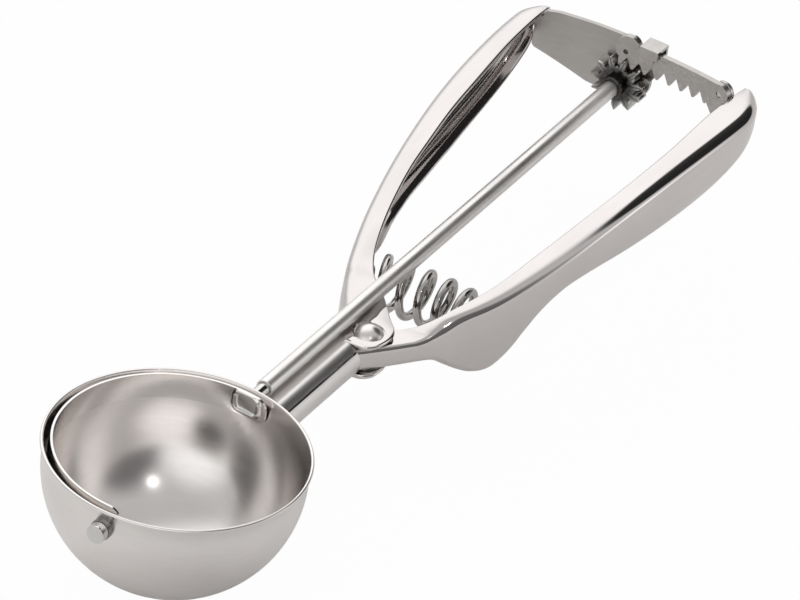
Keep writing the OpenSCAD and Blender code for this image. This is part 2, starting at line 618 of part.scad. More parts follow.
module pinion() color("Silver") rotate([0, pinion_turn, 0]) difference() {
  union() {
    along_shaft(pinion_y, pinion_y + pinion_w) polygon([for (k = [0 : pinion_teeth - 1])
      for (p = pinion_tooth(k * 360 / pinion_teeth)) [p[0] * sin(p[1]), p[0] * cos(p[1])]]);
    along_shaft(pinion_y - hub_h, pinion_y + 1) circle(d = hub_d);
  }
  along_shaft(pinion_y - hub_h - 1, pinion_y + pinion_w + 1) circle(d = shaft_d);
}

// the pinion is turned so that a tooth of it falls in a gap of the rack at rest
pinion_turn = rack_phase / rack_step * 360 / pinion_teeth;

// a sector of a ring round the rivet, from radius r0 to r1, between two heights and two angles
module ring_sector(r0, r1, z0, z1, a0, a1) translate([rivet_x, rivet_y, 0]) rotate([0, 0, 90 - a1])
  rotate_extrude(angle = a1 - a0, $fn = 256) translate([r0, z0]) square([r1 - r0, z1 - z0]);

// the angle round the rivet at which the rack passes a sideways place
function angle_at(x) = asin((x - rivet_x) / mesh_r);

// a prism through the rack at an angle round the rivet, of a shape drawn in x and z from there
module across_rack(a, r0 = rack_r - 4, r1 = rack_r + 8) translate([rivet_x, rivet_y, 0]) rotate([0, 0, -a])
  translate([0, r1, 0]) rotate([90, 0, 0]) linear_extrude(height = r1 - r0) children();

module rack() color("DarkGray") difference() {
  intersection() {
    ring_sector(rack_r, rack_r + rack_t, 2, 14, angle_at(-4), angle_at(lobe_x + 4));
    union() {
      ring_sector(rack_r - 1, rack_r + rack_t + 1, root_z, rack_top, angle_at(lobe_left_x), angle_at(lobe_x));
      // round lobe at the free end, flat where it passes over the pinion
      across_rack(angle_at(lobe_left_x)) difference() {
        translate([0, lobe_left_z]) circle(r = lobe_left_r);
        translate([-5, root_z - 5]) square([10, 5]);
      }
      // round lobe and deep end at the moving handle
      across_rack(angle_at(lobe_x)) translate([0, lobe_z]) circle(r = lobe_r);
      across_rack(angle_at(22.3)) polygon([[0, root_z - 0.1], [0, rack_top - 1], [6.4, lobe_z], [6.4, 2.6],
        [3.5, 2.6]]);
      intersection() {
        ring_sector(rack_r - 1, rack_r + rack_t + 1, 2, root_z + 1, angle_at(-0.9), angle_at(lobe_x));
        for (k = [0 : rack_cut - 1]) across_rack(mesh_a + rack_phase + (k - 0.5) * rack_step) rack_tooth();
      }
    }
  }
  across_rack(angle_at(lobe_x)) translate([0, lobe_z]) circle(d = rack_rivet_d);
  across_rack(angle_at(lobe_left_x - 0.6)) translate([0, lobe_left_z - 0.85]) circle(d = 1.3);
}

// a straight-sided tooth pointing down to the pinion
module rack_tooth() {
  half = pitch / 4;
  down = addendum;
  up = root_z + 0.2 - pitch_r;
  polygon([[-half - up * tan(tooth_a), pitch_r + up], [half + up * tan(tooth_a), pitch_r + up],
    [half - down * tan(tooth_a), pitch_r - down], [-half + down * tan(tooth_a), pitch_r - down]]);
}

// welded behind the free lobe; it meets the guide's edge and stops the handle opening further
module rack_stop_disc() color("Silver") {
  across_rack(angle_at(stop_x), rack_r + rack_t + 0.3, rack_r + rack_t + 0.3 + stop_t) translate([0, stop_z])
    circle(d = stop_d);
  across_rack(angle_at(stop_x), rack_r + rack_t, rack_r + rack_t + 0.4) translate([0, stop_z]) circle(d = 2.6);
}

// the bracket: a lobe behind the rack's lobe on a tongue that is welded inside the moving handle
module rack_bracket() color("DarkGray") difference() {
  intersection() {
    ring_sector(bracket_r, bracket_r + bracket_t, 2, 14, angle_at(lobe_x - 4), angle_at(35));
    union() {
      across_rack(angle_at(lobe_x)) translate([0, lobe_z]) circle(r = lobe_r);
      across_rack(angle_at(lobe_x)) translate([0, 5.1]) square([7.4, 3.4]);
    }
  }
  across_rack(angle_at(lobe_x)) translate([0, lobe_z]) circle(d = rack_rivet_d);
}

module rack_washer() color("Silver") across_rack(angle_at(lobe_x), rack_r + rack_t + 0.05, bracket_r - 0.05)
  translate([0, lobe_z]) difference() {
    circle(r = lobe_r + 0.15);
    circle(d = rack_rivet_d);
  }

// flush in front, so that the rack can pass through the guide
module rack_rivet() color("WhiteSmoke") {
  across_rack(angle_at(lobe_x), rack_r + 0.3, bracket_r + bracket_t + 0.1) translate([0, lobe_z])
    circle(d = rack_rivet_d);
  across_rack(angle_at(lobe_x), bracket_r + bracket_t + 0.02, bracket_r + bracket_t + 0.32) translate([0, lobe_z])
    circle(d = rack_rivet_d + 1.4);
}

// ---- end plate and guide ---------------------------------------------------------------------

// outline of the plate seen along the shaft: a straight top, a slanting foot, a round seat for the bearing
module plate_outline() {
  polygon([[-24.1, 0.4], [-23.5, -0.4], [-9.8, -5.4], [-2.5, -6.35], [0, -6.4], [6, 0], [9.1, 5.6], [9.1, 7.9],
    [8.7, 8.3], [2.4, 8.4], [1.2, 9.4], [-0.4, 10.1], [-2.2, 10.4], [-8.1, 10.6], [-18.4, 10.6], [-21.4, 10.2],
    [-22.3, 9.6], [-22.3, 8.4], [-24.1, 8.4]]);
  circle(r = 6.4);
  // tongue inside the fixed handle's channel
  translate([-25.4, 5.4]) square([3, 2.9]);
}

module end_plate() color("Gray") difference() {
  intersection() {
    ring_sector(plate_r, plate_r + plate_t, -10, 16, -16, 4);
    along_shaft(plate_y - 20, plate_y + 20) plate_outline();
  }
  along_shaft(plate_y - 10, plate_y + 10) circle(d = bearing_d);
}

module rack_guide() color("Silver") {
  a0 = angle_at(guide_x);
  a1 = angle_at(guide_x + guide_w);
  roof = rack_top + guide_gap;
  front = rack_r - guide_gap - guide_t;
  ring_sector(front, plate_r, roof, roof + guide_t, a0, a1);
  ring_sector(plate_r - guide_t, plate_r, 6.9, roof + guide_t, a0, a1);
  // front leg with a round end
  intersection() {
    ring_sector(front, front + guide_t, 7, roof + guide_t, a0 - 2, a1);
    across_rack((a0 + a1) / 2) {
      translate([-guide_w / 2, roof - 1.65]) square([guide_w, 1.65 + guide_t]);
      translate([-1.05, roof - 1.65]) circle(d = guide_w + 0.3);
    }
  }
}

module shaft_bearing() color("DimGray") {
  front_y = plate_y - bearing_lip;
  difference() {
    union() {
      along_shaft(front_y, plate_y + plate_t + 0.3) circle(d = bearing_d);
      along_shaft(front_y, front_y + bearing_lip - 0.25) circle(d = bearing_d + 2.4);
    }
    along_shaft(front_y - 1, plate_y + plate_t + 2) circle(d = pin_d + 2 * run_gap);
  }
}

// ---- the whole scoop -------------------------------------------------------------------------

bowl();
scraper_blade();
front_pivot_bush();
front_pivot_pin();
rear_pivot_bush();
blade_spindle();
drive_shaft();
fixed_handle();
moving_handle();
pivot_rivet();
pivot_sleeve();
upper_pivot_washer();
lower_pivot_washer();
handle_spring();
fixed_spring_stud();
moving_spring_stud();
pinion();
rack();
rack_stop_disc();
rack_bracket();
rack_washer();
rack_rivet();
end_plate();
rack_guide();
shaft_bearing();
tail_pin();
tail_washer();
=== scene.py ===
import math

import bmesh
import bpy
from mathutils import Matrix, Vector


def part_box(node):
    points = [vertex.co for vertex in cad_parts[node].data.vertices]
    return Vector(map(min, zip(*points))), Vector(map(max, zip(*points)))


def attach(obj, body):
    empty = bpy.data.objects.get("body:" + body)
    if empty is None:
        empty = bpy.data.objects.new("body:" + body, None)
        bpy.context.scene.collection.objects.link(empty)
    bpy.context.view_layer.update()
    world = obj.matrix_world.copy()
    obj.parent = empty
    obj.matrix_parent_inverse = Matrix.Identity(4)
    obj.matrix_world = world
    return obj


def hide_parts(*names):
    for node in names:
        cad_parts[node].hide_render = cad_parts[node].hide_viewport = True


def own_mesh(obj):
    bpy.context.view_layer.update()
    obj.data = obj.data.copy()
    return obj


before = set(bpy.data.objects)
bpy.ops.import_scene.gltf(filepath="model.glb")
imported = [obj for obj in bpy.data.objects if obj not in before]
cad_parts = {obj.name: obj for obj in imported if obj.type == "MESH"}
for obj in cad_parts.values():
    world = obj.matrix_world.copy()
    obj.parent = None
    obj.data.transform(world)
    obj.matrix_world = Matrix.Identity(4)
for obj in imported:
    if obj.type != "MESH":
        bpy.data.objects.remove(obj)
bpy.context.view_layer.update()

# ---- camera ----------------------------------------------------------------------------------
# A long lens above the bowl's right side. It looks along the scoop towards the handle ends and
# has a slight roll.

camera = bpy.data.objects.new("camera", bpy.data.cameras.new("camera"))
bpy.context.scene.collection.objects.link(camera)
camera.location = (0.52540, -1.00488, 0.82324)
camera.rotation_euler = [math.radians(turn) for turn in (55.4191, -7.1501, 30.3779)]
camera.data.lens = 295.04
camera.data.sensor_width = 36
bpy.context.scene.camera = camera

# ---- table and room --------------------------------------------------------------------------
# A white table in a bright room. The light comes softly from behind on the left, one corner of
# the room behind on the right is dim, and a small lamp stands in front on the right.

TABLE_Z, TABLE_HALF = -0.029, 3
TABLE_GLOW = 0.97
ROOM_LEVEL = 0.62
LAMP_BEARING, LAMP_HEIGHT, LAMP_FAR = 124, 50, 1.6


def mesh_object(name, points, faces):
    """A new object in the scene with the given points, in metres, and faces."""
    mesh = bpy.data.meshes.new(name)
    mesh.from_pydata([Vector(p) for p in points], [], faces)
    obj = bpy.data.objects.new(name, mesh)
    bpy.context.scene.collection.objects.link(obj)
    return obj


def table_white():
    """Light board; the camera sees it mostly glowing, so that it stays white behind the scoop."""
    made = bpy.data.materials.new("table_white")
    made.use_nodes = True
    nodes, link = made.node_tree.nodes, made.node_tree.links.new
    board = nodes["Principled BSDF"]
    board.inputs["Base Color"].default_value = (0.93, 0.92, 0.91, 1)
    board.inputs["Roughness"].default_value = 0.9
    glow = nodes.new("ShaderNodeEmission")
    glow.inputs["Strength"].default_value = 1
    ray = nodes.new("ShaderNodeLightPath")
    share = nodes.new("ShaderNodeMath")
    share.operation = "MULTIPLY"
    share.inputs[1].default_value = TABLE_GLOW
    both = nodes.new("ShaderNodeMixShader")
    link(ray.outputs["Is Camera Ray"], share.inputs[0])
    link(share.outputs[0], both.inputs[0])
    link(board.outputs[0], both.inputs[1])
    link(glow.outputs[0], both.inputs[2])
    link(both.outputs[0], nodes["Material Output"].inputs["Surface"])
    return made


table = mesh_object("table", [(x * TABLE_HALF, y * TABLE_HALF, TABLE_Z)
                              for x, y in ((-1, -1), (1, -1), (1, 1), (-1, 1))], [(0, 1, 2, 3)])
table.data.materials.append(table_white())

room = bpy.data.worlds.new("room")
bpy.context.scene.world = room
room.use_nodes = True


def heading(bearing, height):
    """A direction by its bearing and its height over the table, in degrees.

    Bearing 0 is past the handle ends and bearing 90 is past the moving handle.
    """
    a, h = math.radians(bearing), math.radians(height)
    return Vector((math.sin(a) * math.cos(h), math.cos(a) * math.cos(h), math.sin(h)))


def lit_room(glows, dims):
    """Walls of one level with soft round patches: a glow adds light, a dim one leaves a share of it."""
    nodes, link = room.node_tree.nodes, room.node_tree.links.new
    way = nodes.new("ShaderNodeTexCoord")
    level = None
    for patches, operation, outside in ((glows, "ADD", 0), (dims, "MULTIPLY", 1)):
        for bearing, height, core, reach, middle in patches:
            off = nodes.new("ShaderNodeVectorMath")
            off.operation = "DOT_PRODUCT"
            off.inputs[1].default_value = heading(bearing, height)
            fade = nodes.new("ShaderNodeMapRange")
            fade.interpolation_type = "SMOOTHSTEP"
            fade.inputs["From Min"].default_value = math.cos(math.radians(reach))
            fade.inputs["From Max"].default_value = math.cos(math.radians(core))
            fade.inputs["To Min"].default_value = outside
            fade.inputs["To Max"].default_value = middle
            step = nodes.new("ShaderNodeMath")
            step.operation = operation
            step.inputs[0].default_value = ROOM_LEVEL
            link(way.outputs["Generated"], off.inputs[0])
            link(off.outputs["Value"], fade.inputs["Value"])
            if level:
                link(level, step.inputs[0])
            link(fade.outputs["Result"], step.inputs[1])
            level = step.outputs[0]
    nodes["Background"].inputs["Color"].default_value = (1, 1, 1, 1)
    link(level, nodes["Background"].inputs["Strength"])


# each patch: bearing, height, angle to the end of its even middle, angle to its outer end, light
lit_room([(-46, 46, 24, 50, 0.72), (60, 4, 4, 20, 0.7), (172, 12, 14, 48, 0.5)],
         [(21, 34, 20, 25, 0.04), (100, 14, 24, 44, 0.25), (150, 78, 14, 50, 0.9)])

lamp = bpy.data.objects.new("lamp", bpy.data.lights.new("lamp", "AREA"))
bpy.context.scene.collection.objects.link(lamp)
lamp.location = heading(LAMP_BEARING, LAMP_HEIGHT) * LAMP_FAR
lamp.rotation_euler = (-lamp.location).to_track_quat("-Z", "Y").to_euler()
lamp.data.shape = "ELLIPSE"
lamp.data.size = 0.10
lamp.data.size_y = 0.05
lamp.data.energy = 0.5
bpy.context.scene.view_settings.view_transform = "Standard"

# ---- bowl ------------------------------------------------------------------------------------
# A stainless bowl pressed to half a ball, with a short wall above that flares a little, and its
# rim ground to a full round. It is polished while it spins, so its marks run round it.

MM = 0.001
BALL_R, BOWL_WALL = 28.0, 0.8
RIM_Z, RIM_FLARE = 4.7, 0.65
BALL_STEPS, FLARE_STEPS, RIM_STEPS = 60, 8, 10


def socket(group, name, kind, side, value=None):
    """A named input or output of a node group."""
    made = group.interface.new_socket(name=name, in_out=side, socket_type=kind)
    if value is not None:
        made.default_value = value


def polish_marks():
    """Uneven polish: soft smears and fine hairlines that change roughness, height and tone."""
    group = bpy.data.node_groups.new("polish_marks", "ShaderNodeTree")
    socket(group, "Stretch", "NodeSocketVector", "INPUT", (1, 1, 1))
    socket(group, "Smooth", "NodeSocketFloat", "INPUT", 0.1)
    socket(group, "Rough", "NodeSocketFloat", "INPUT", 0.2)
    socket(group, "Light", "NodeSocketColor", "INPUT", (0.7, 0.7, 0.7, 1))
    socket(group, "Dark", "NodeSocketColor", "INPUT", (0.6, 0.6, 0.6, 1))
    socket(group, "Color", "NodeSocketColor", "OUTPUT")
    socket(group, "Roughness", "NodeSocketFloat", "OUTPUT")
    socket(group, "Height", "NodeSocketFloat", "OUTPUT")
    nodes, link = group.nodes, group.links.new
    given = nodes.new("NodeGroupInput")
    place = nodes.new("ShaderNodeTexCoord")
    smear = nodes.new("ShaderNodeTexNoise")
    smear.inputs["Scale"].default_value = 55
    smear.inputs["Detail"].default_value = 4
    stretched = nodes.new("ShaderNodeVectorMath")
    stretched.operation = "MULTIPLY"
    hairline = nodes.new("ShaderNodeTexNoise")
    hairline.inputs["Scale"].default_value = 900
    hairline.inputs["Detail"].default_value = 3
    link(place.outputs["Object"], smear.inputs["Vector"])
    link(place.outputs["Object"], stretched.inputs[0])
    link(given.outputs["Stretch"], stretched.inputs[1])
    link(stretched.outputs[0], hairline.inputs["Vector"])
    both = nodes.new("ShaderNodeMix")
    both.inputs["Factor"].default_value = 0.35
    link(smear.outputs["Fac"], both.inputs["A"])
    link(hairline.outputs["Fac"], both.inputs["B"])
    spread = nodes.new("ShaderNodeMapRange")
    spread.inputs["From Min"].default_value = 0.3
    spread.inputs["From Max"].default_value = 0.7
    link(both.outputs["Result"], spread.inputs["Value"])
    rough = nodes.new("ShaderNodeMix")
    link(spread.outputs["Result"], rough.inputs["Factor"])
    link(given.outputs["Smooth"], rough.inputs["A"])
    link(given.outputs["Rough"], rough.inputs["B"])
    tone = nodes.new("ShaderNodeMix")
    tone.data_type = "RGBA"
    link(spread.outputs["Result"], tone.inputs["Factor"])
    link(given.outputs["Light"], tone.inputs[6])
    link(given.outputs["Dark"], tone.inputs[7])
    out = nodes.new("NodeGroupOutput")
    link(tone.outputs[2], out.inputs["Color"])
    link(rough.outputs["Result"], out.inputs["Roughness"])
    link(hairline.outputs["Fac"], out.inputs["Height"])
    return group


POLISH = polish_marks()


def steel(name, light, dark, smooth, rough, stretch, bump):
    """A steel finish whose marks mix two tones and two values of roughness.

    The hairlines run along the axes with a small stretch; bump is their depth in mm.
    """
    made = bpy.data.materials.new(name)
    made.use_nodes = True
    nodes, link = made.node_tree.nodes, made.node_tree.links.new
    shader = nodes["Principled BSDF"]
    shader.inputs["Metallic"].default_value = 1
    marks = nodes.new("ShaderNodeGroup")
    marks.node_tree = POLISH
    marks.inputs["Stretch"].default_value = stretch
    marks.inputs["Smooth"].default_value = smooth
    marks.inputs["Rough"].default_value = rough
    marks.inputs["Light"].default_value = (*light, 1)
    marks.inputs["Dark"].default_value = (*dark, 1)
    relief = nodes.new("ShaderNodeBump")
    relief.inputs["Strength"].default_value = 1
    relief.inputs["Distance"].default_value = bump * MM
    link(marks.outputs["Color"], shader.inputs["Base Color"])
    link(marks.outputs["Roughness"], shader.inputs["Roughness"])
    link(marks.outputs["Height"], relief.inputs["Height"])
    link(relief.outputs["Normal"], shader.inputs["Normal"])
    return made


bowl_steel = steel("bowl_steel", (0.85, 0.82, 0.80), (0.78, 0.75, 0.735), 0.17, 0.25,
                   (0.15, 0.15, 1.2), 0.0006)


def smooth(obj, angle=35):
    """Merges doubles, turns the faces outwards and smooths every edge flatter than the angle."""
    shape = bmesh.new()
    shape.from_mesh(obj.data)
    bmesh.ops.remove_doubles(shape, verts=shape.verts, dist=1e-7)
    bmesh.ops.recalc_face_normals(shape, faces=shape.faces)
    shape.to_mesh(obj.data)
    shape.free()
    obj.data.shade_smooth()
    obj.data.set_sharp_from_angle(angle=math.radians(angle))


def spun(name, outline, steps=96, angle=35):
    """A turned piece about the upright axis, from its outline as (radius, height) in mm.

    The outline runs from the axis back to the axis, or else it closes on itself.
    """
    points, faces, n = [], [], len(outline)
    for k in range(steps):
        a = 2 * math.pi * k / steps
        points += [(r * math.cos(a) * MM, r * math.sin(a) * MM, z * MM) for r, z in outline]
        j = (k + 1) % steps
        faces += [(k * n + i, j * n + i, j * n + i + 1, k * n + i + 1) for i in range(n - 1)]
        if outline[0][0] > 0:
            faces.append((k * n + n - 1, j * n + n - 1, j * n, k * n))
    made = mesh_object(name, points, faces)
    smooth(made, angle)
    return made


def fitted(obj, body, slot, material, *nodes):
    """The last step of every piece: its finish, the body it moves with and the solids it stands for."""
    obj.data.materials.clear()
    obj.data.materials.append(material)
    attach(obj, body)
    if nodes:
        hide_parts(*nodes)


def arc(cx, cz, r, start, stop, steps):
    """Points along an arc, from one angle to the other in degrees."""
    turns = [math.radians(start + (stop - start) * k / steps) for k in range(steps + 1)]
    return [(cx + r * math.cos(a), cz + r * math.sin(a)) for a in turns]


outside = BALL_R + BOWL_WALL
rim_low = RIM_Z - BOWL_WALL / 2
flare_r = (rim_low ** 2 + RIM_FLARE ** 2) / (2 * RIM_FLARE)
flare_turn = math.degrees(math.asin(rim_low / flare_r))
outer_ball = [(0, -outside)] + arc(0, 0, outside, -89, 0, BALL_STEPS)
outer_flare = arc(outside + flare_r, 0, flare_r, 180, 180 - flare_turn, FLARE_STEPS)[1:-1]
rim = arc(BALL_R + RIM_FLARE + BOWL_WALL / 2, rim_low, BOWL_WALL / 2,
          -flare_turn, 180 - flare_turn, RIM_STEPS)
inner_flare = arc(BALL_R + flare_r, 0, flare_r, 180 - flare_turn, 180, FLARE_STEPS)[1:-1]
inner_ball = arc(0, 0, BALL_R, 0, -89, BALL_STEPS) + [(0, -BALL_R)]
bowl = spun("bowl_shell", outer_ball + outer_flare + rim + inner_flare + inner_ball, steps=192, angle=60)
fitted(bowl, "fixed_body", "bright_steel", bowl_steel, "bowl")

# ---- scraper blade ---------------------------------------------------------------------------
# A spring-steel band bent to the bowl's round, with an eye for the front pin. Its square rear end
# has a bead pressed round a pocket, behind which the spindle is welded.

blade_steel = steel("blade_steel", (0.82, 0.80, 0.78), (0.74, 0.72, 0.70), 0.07, 0.12, (1, 1, 0.2), 0.0005)
BLADE_R, BLADE_T = 27.65, 0.5
BLADE_TOP, BLADE_LOW = 4.8, 1.7
EYE_R, EYE_OVER = 3.2, 3.25
REAR_X, REAR_R = 6.4, 2.4
POCKET_X, POCKET_Z, POCKET_R = (-1.5, 4.1), (-0.1, 4.0), 1.2
BEAD_W, BEAD_H, BEAD_FADE = 0.9, 0.7, 0.8
BLADE_ROWS = 44
# the band is cut across at steps of so many degrees: at its round corners, along it, at the bead
CORNER_STEP, BAND_STEP, BEAD_STEP = 9, 2.5, 0.4
BEAD_FROM, BEAD_CUTS = 162.5, 64


def blade_edges(x, at_front):
    """The band's lower and upper edge, sideways from the shaft's line, on its front or its rear half."""
    low, top = -BLADE_LOW, BLADE_TOP
    if at_front:
        eye = [s * math.sqrt(max(0, EYE_R ** 2 - x * x)) for s in (-1, 1)]
        over = [BLADE_TOP - EYE_OVER + s * math.sqrt(max(0, EYE_OVER ** 2 - x * x)) for s in (-1, 1)]
        if x > 0:
            low, top = over[0], over[1]
            if x < EYE_R:
                low, top = min(low, eye[0]), max(top, eye[1])
        elif x > -EYE_R:
            low = min(low, eye[0])
    elif x > REAR_X - REAR_R:
        drop = REAR_R - math.sqrt(max(0, REAR_R ** 2 - (x - REAR_X + REAR_R) ** 2))
        low, top = low + drop, top - drop
    return low, top


def bead(x, z):
    """Height of the pressed bead over the band: a soft round ridge that runs round the pocket."""
    mx, mz = sum(POCKET_X) / 2, sum(POCKET_Z) / 2
    dx = abs(x - mx) - (POCKET_X[1] - mx - POCKET_R)
    dz = abs(z - mz) - (POCKET_Z[1] - mz - POCKET_R)
    out = math.hypot(max(dx, 0), max(dz, 0)) + min(max(dx, dz), 0) - POCKET_R
    return BEAD_H * math.cos(math.pi / 2 * min(1, abs(out - BEAD_W / 2) / (BEAD_W * BEAD_FADE))) ** 2


def turn_at(x):
    """How far round the bowl the band has come where it lies x sideways."""
    return math.degrees(math.asin(x / BLADE_R))


quarter = [math.radians(t) for t in range(0, 91, CORNER_STEP)]
front_cuts = [-turn_at(EYE_OVER * math.cos(a)) for a in quarter[:-1]]
band_cuts = [k * BAND_STEP for k in range(int(BEAD_FROM / BAND_STEP))]
bead_cuts = [BEAD_FROM + BEAD_STEP * k for k in range(BEAD_CUTS)]
rear_cuts = [180 + turn_at(REAR_X - REAR_R + REAR_R * math.sin(a)) for a in quarter]
turns = [math.radians(t) for t in front_cuts + band_cuts + bead_cuts + rear_cuts]
points, faces = [], []
for turn in turns:
    x = -BLADE_R * math.sin(turn)
    low, top = blade_edges(x, math.cos(turn) > 0)
    for at_back in (0, 1):
        for k in range(BLADE_ROWS + 1):
            z = low + (top - low) * k / BLADE_ROWS
            ridge = 0 if at_back or math.cos(turn) > 0 or x < -BALL_R / 2 else bead(x, z)
            r = BLADE_R if at_back else BLADE_R - BLADE_T - ridge
            flat = math.sqrt(r * r - z * z)
            points.append((-flat * math.sin(turn) * MM, -flat * math.cos(turn) * MM, z * MM))
n = BLADE_ROWS + 1
for i in range(len(turns) - 1):
    a, b = i * 2 * n, (i + 1) * 2 * n
    faces += [(a + k, a + k + 1, b + k + 1, b + k) for k in range(2 * n - 1) if k != n - 1]
    faces += [(a, b, b + n, a + n), (a + n - 1, a + 2 * n - 1, b + 2 * n - 1, b + n - 1)]
last = (len(turns) - 1) * 2 * n
faces += [(last + k, last + k + 1, last + n + k + 1, last + n + k) for k in range(n - 1)]
blade = mesh_object("blade", points, faces)


def broken_edges(obj, width, angle=40):
    """A small round on every sharp edge, as deburring leaves it."""
    smooth(obj, angle)
    made = obj.modifiers.new("broken_edges", "BEVEL")
    made.width = width * MM
    made.segments = 3
    made.limit_method = "ANGLE"
    made.angle_limit = math.radians(angle)
    made.harden_normals = True


broken_edges(blade, width=0.14, angle=50)
fitted(blade, "scraper", "bright_steel", blade_steel, "scraper_blade")

# ---- pivots of the scraper -------------------------------------------------------------------
# Plain turned pins that run in small pressed-in bushes. The front pin is riveted over inside the
# blade's eye; the spindle is welded behind the blade's rear end and pressed into the shaft.

PIN_D, BUSH_D, COLLAR_D, COLLAR_H = 3.0, 4.0, 4.8, 1.1
HEAD_D, HEAD_H, HEAD_GAP = 4.3, 2.1, 0.05
FOOT_W, FOOT_H = 0.5, 0.8
RUN_GAP = 0.04
BUSH_IN, COLLAR_IN = 0.1, 0.05
WELD_IN = 0.02
SHAFT_FROM, PLUG = 36.6, 9.0
TURNED_STEPS = 64
pin_steel = steel("pin_steel", (0.74, 0.73, 0.72), (0.64, 0.63, 0.62), 0.06, 0.14, (1, 0.2, 1), 0.0004)
dark_steel = steel("dark_steel", (0.34, 0.33, 0.32), (0.22, 0.215, 0.21), 0.18, 0.32, (1, 1, 1), 0.002)


def eased(corners, ease, steps=4):
    """The outline with each corner between its ends rounded over."""
    path = [corners[0]]
    for a, p, b in zip(corners, corners[1:], corners[2:]):
        tip = Vector(p)
        before, after = [tip + (Vector(q) - tip).normalized() * min(ease, math.dist(p, q) / 2)
                         for q in (a, b)]
        for k in range(steps + 1):
            t = k / steps
            path.append(tuple(before * (1 - t) ** 2 + tip * 2 * t * (1 - t) + after * t * t))
    return path + [corners[-1]]


def on_shaft(name, corners, ease):
    """A small turned piece with eased corners, whose axis lies along the shaft."""
    made = spun(name, eased(corners, ease), TURNED_STEPS)
    made.data.transform(Matrix.Rotation(math.radians(-90), 4, "X"))
    return made


def sleeve(bore, r, low, high):
    """The outline of a ring or tube, which closes in the middle of its bore."""
    mid = (low + high) / 2
    return [(bore, mid), (bore, low), (r, low), (r, high), (bore, high), (bore, mid)]


pin_r = PIN_D / 2
run_r = pin_r + RUN_GAP
eye_in = BLADE_R - BLADE_T
head_in = outside + COLLAR_H + HEAD_GAP
head_out = head_in + HEAD_H
front_pin = on_shaft("front_pin", [
    (0, -head_out), (HEAD_D / 2, -head_out), (HEAD_D / 2, -head_in), (pin_r, -head_in), (pin_r, -eye_in),
    (pin_r + FOOT_W, -eye_in), (pin_r + FOOT_W, FOOT_H - eye_in), (0, FOOT_H - eye_in)], ease=0.22)
fitted(front_pin, "scraper", "bright_steel", pin_steel, "front_pivot_pin")
spindle_from, spindle_to = BLADE_R - WELD_IN, SHAFT_FROM + PLUG
spindle = on_shaft("spindle", [
    (0, spindle_from), (pin_r, spindle_from), (pin_r, spindle_to), (0, spindle_to)], ease=0.1)
fitted(spindle, "scraper", "bright_steel", pin_steel, "blade_spindle")
bush_in, collar_in, bush_out = BALL_R - BUSH_IN, outside - COLLAR_IN, outside + COLLAR_H
bush_corners = [(run_r, outside), (run_r, bush_in), (BUSH_D / 2, bush_in), (BUSH_D / 2, collar_in),
                (COLLAR_D / 2, collar_in), (COLLAR_D / 2, bush_out), (run_r, bush_out), (run_r, outside)]
for name, end in (("front", -1), ("rear", 1)):
    bush = on_shaft(name + "_bush", [(r, y * end) for r, y in bush_corners], ease=0.15)
    fitted(bush, "fixed_body", "dark_steel", dark_steel, name + "_pivot_bush")

# ---- drive shaft -----------------------------------------------------------------------------
# A plain drawn tube from the bowl to the pinion. A pin in its far end turns in a bush in the end
# plate and is riveted over a washer behind it.

shaft_steel = steel("shaft_steel", (0.86, 0.84, 0.82), (0.78, 0.76, 0.74), 0.30, 0.42, (1, 0.06, 1), 0.001)
SHAFT_D = 4.0
TAIL_FOOT_W, TAIL_TIP_W, TAIL_RISE = 0.8, 0.3, 0.1
WASHER_W = 1.5
FLANGE_R, FLANGE_T, BEARING_R = 3.5, 0.6, 2.3
bearing_low, bearing_high = [corner[1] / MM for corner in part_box("shaft_bearing")]
washer_low, washer_high = [corner[1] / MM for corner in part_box("tail_washer")]
tail_low, tail_high = [corner[1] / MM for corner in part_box("tail_pin")]
shaft_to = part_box("drive_shaft")[1][1] / MM
shaft = on_shaft("shaft", sleeve(pin_r, SHAFT_D / 2, SHAFT_FROM, shaft_to), ease=0.16)
fitted(shaft, "scraper", "bright_steel", shaft_steel, "drive_shaft")
tail_pin = on_shaft("tail_stub", [
    (0, tail_low), (pin_r, tail_low), (pin_r, washer_high), (pin_r + TAIL_FOOT_W, washer_high + TAIL_RISE),
    (pin_r + TAIL_TIP_W, tail_high), (0, tail_high)], ease=0.25)
fitted(tail_pin, "scraper", "bright_steel", pin_steel, "tail_pin")
tail_washer = on_shaft("tail_ring", sleeve(pin_r, pin_r + WASHER_W, washer_low, washer_high), ease=0.08)
fitted(tail_washer, "scraper", "dark_steel", dark_steel, "tail_washer")
flange = bearing_low + FLANGE_T
bearing = on_shaft("bearing", [
    (run_r, flange), (run_r, bearing_low), (FLANGE_R, bearing_low), (FLANGE_R, flange), (BEARING_R, flange),
    (BEARING_R, bearing_high), (run_r, bearing_high), (run_r, flange)], ease=0.1)
fitted(bearing, "fixed_body", "dark_steel", dark_steel, "shaft_bearing")

# ---- handles ---------------------------------------------------------------------------------
# Each handle is one pressing of thin stainless sheet: a channel open towards the other handle,
# with a wide soft round on its top outer corner, a flange under the fingers and a blunt end.

SHEET = 1.1
NECK_TOP = -2.4
NECK_W, NECK_H, NECK_X = 11.2, 8.8, 2.0
NECK_Y, NECK_INSET = 66.8, 0.3
GRIP_TOP = 9.8
HANDLE_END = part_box("fixed_handle")[1][1] / MM
RIVET = (5.2, 73.5)
DISH_R, DISH = 3.8, 0.3
MOVING_FROM, MOVING_TOP, MOVING_LOW = 67.2, -3.95, -9.65
LEFT_NOSE, RIGHT_NOSE, NOSE_PART = 7.5, 15, 0.95
neck_r = NECK_H / 2
neck_z = NECK_TOP - neck_r
neck_low = NECK_TOP - NECK_H

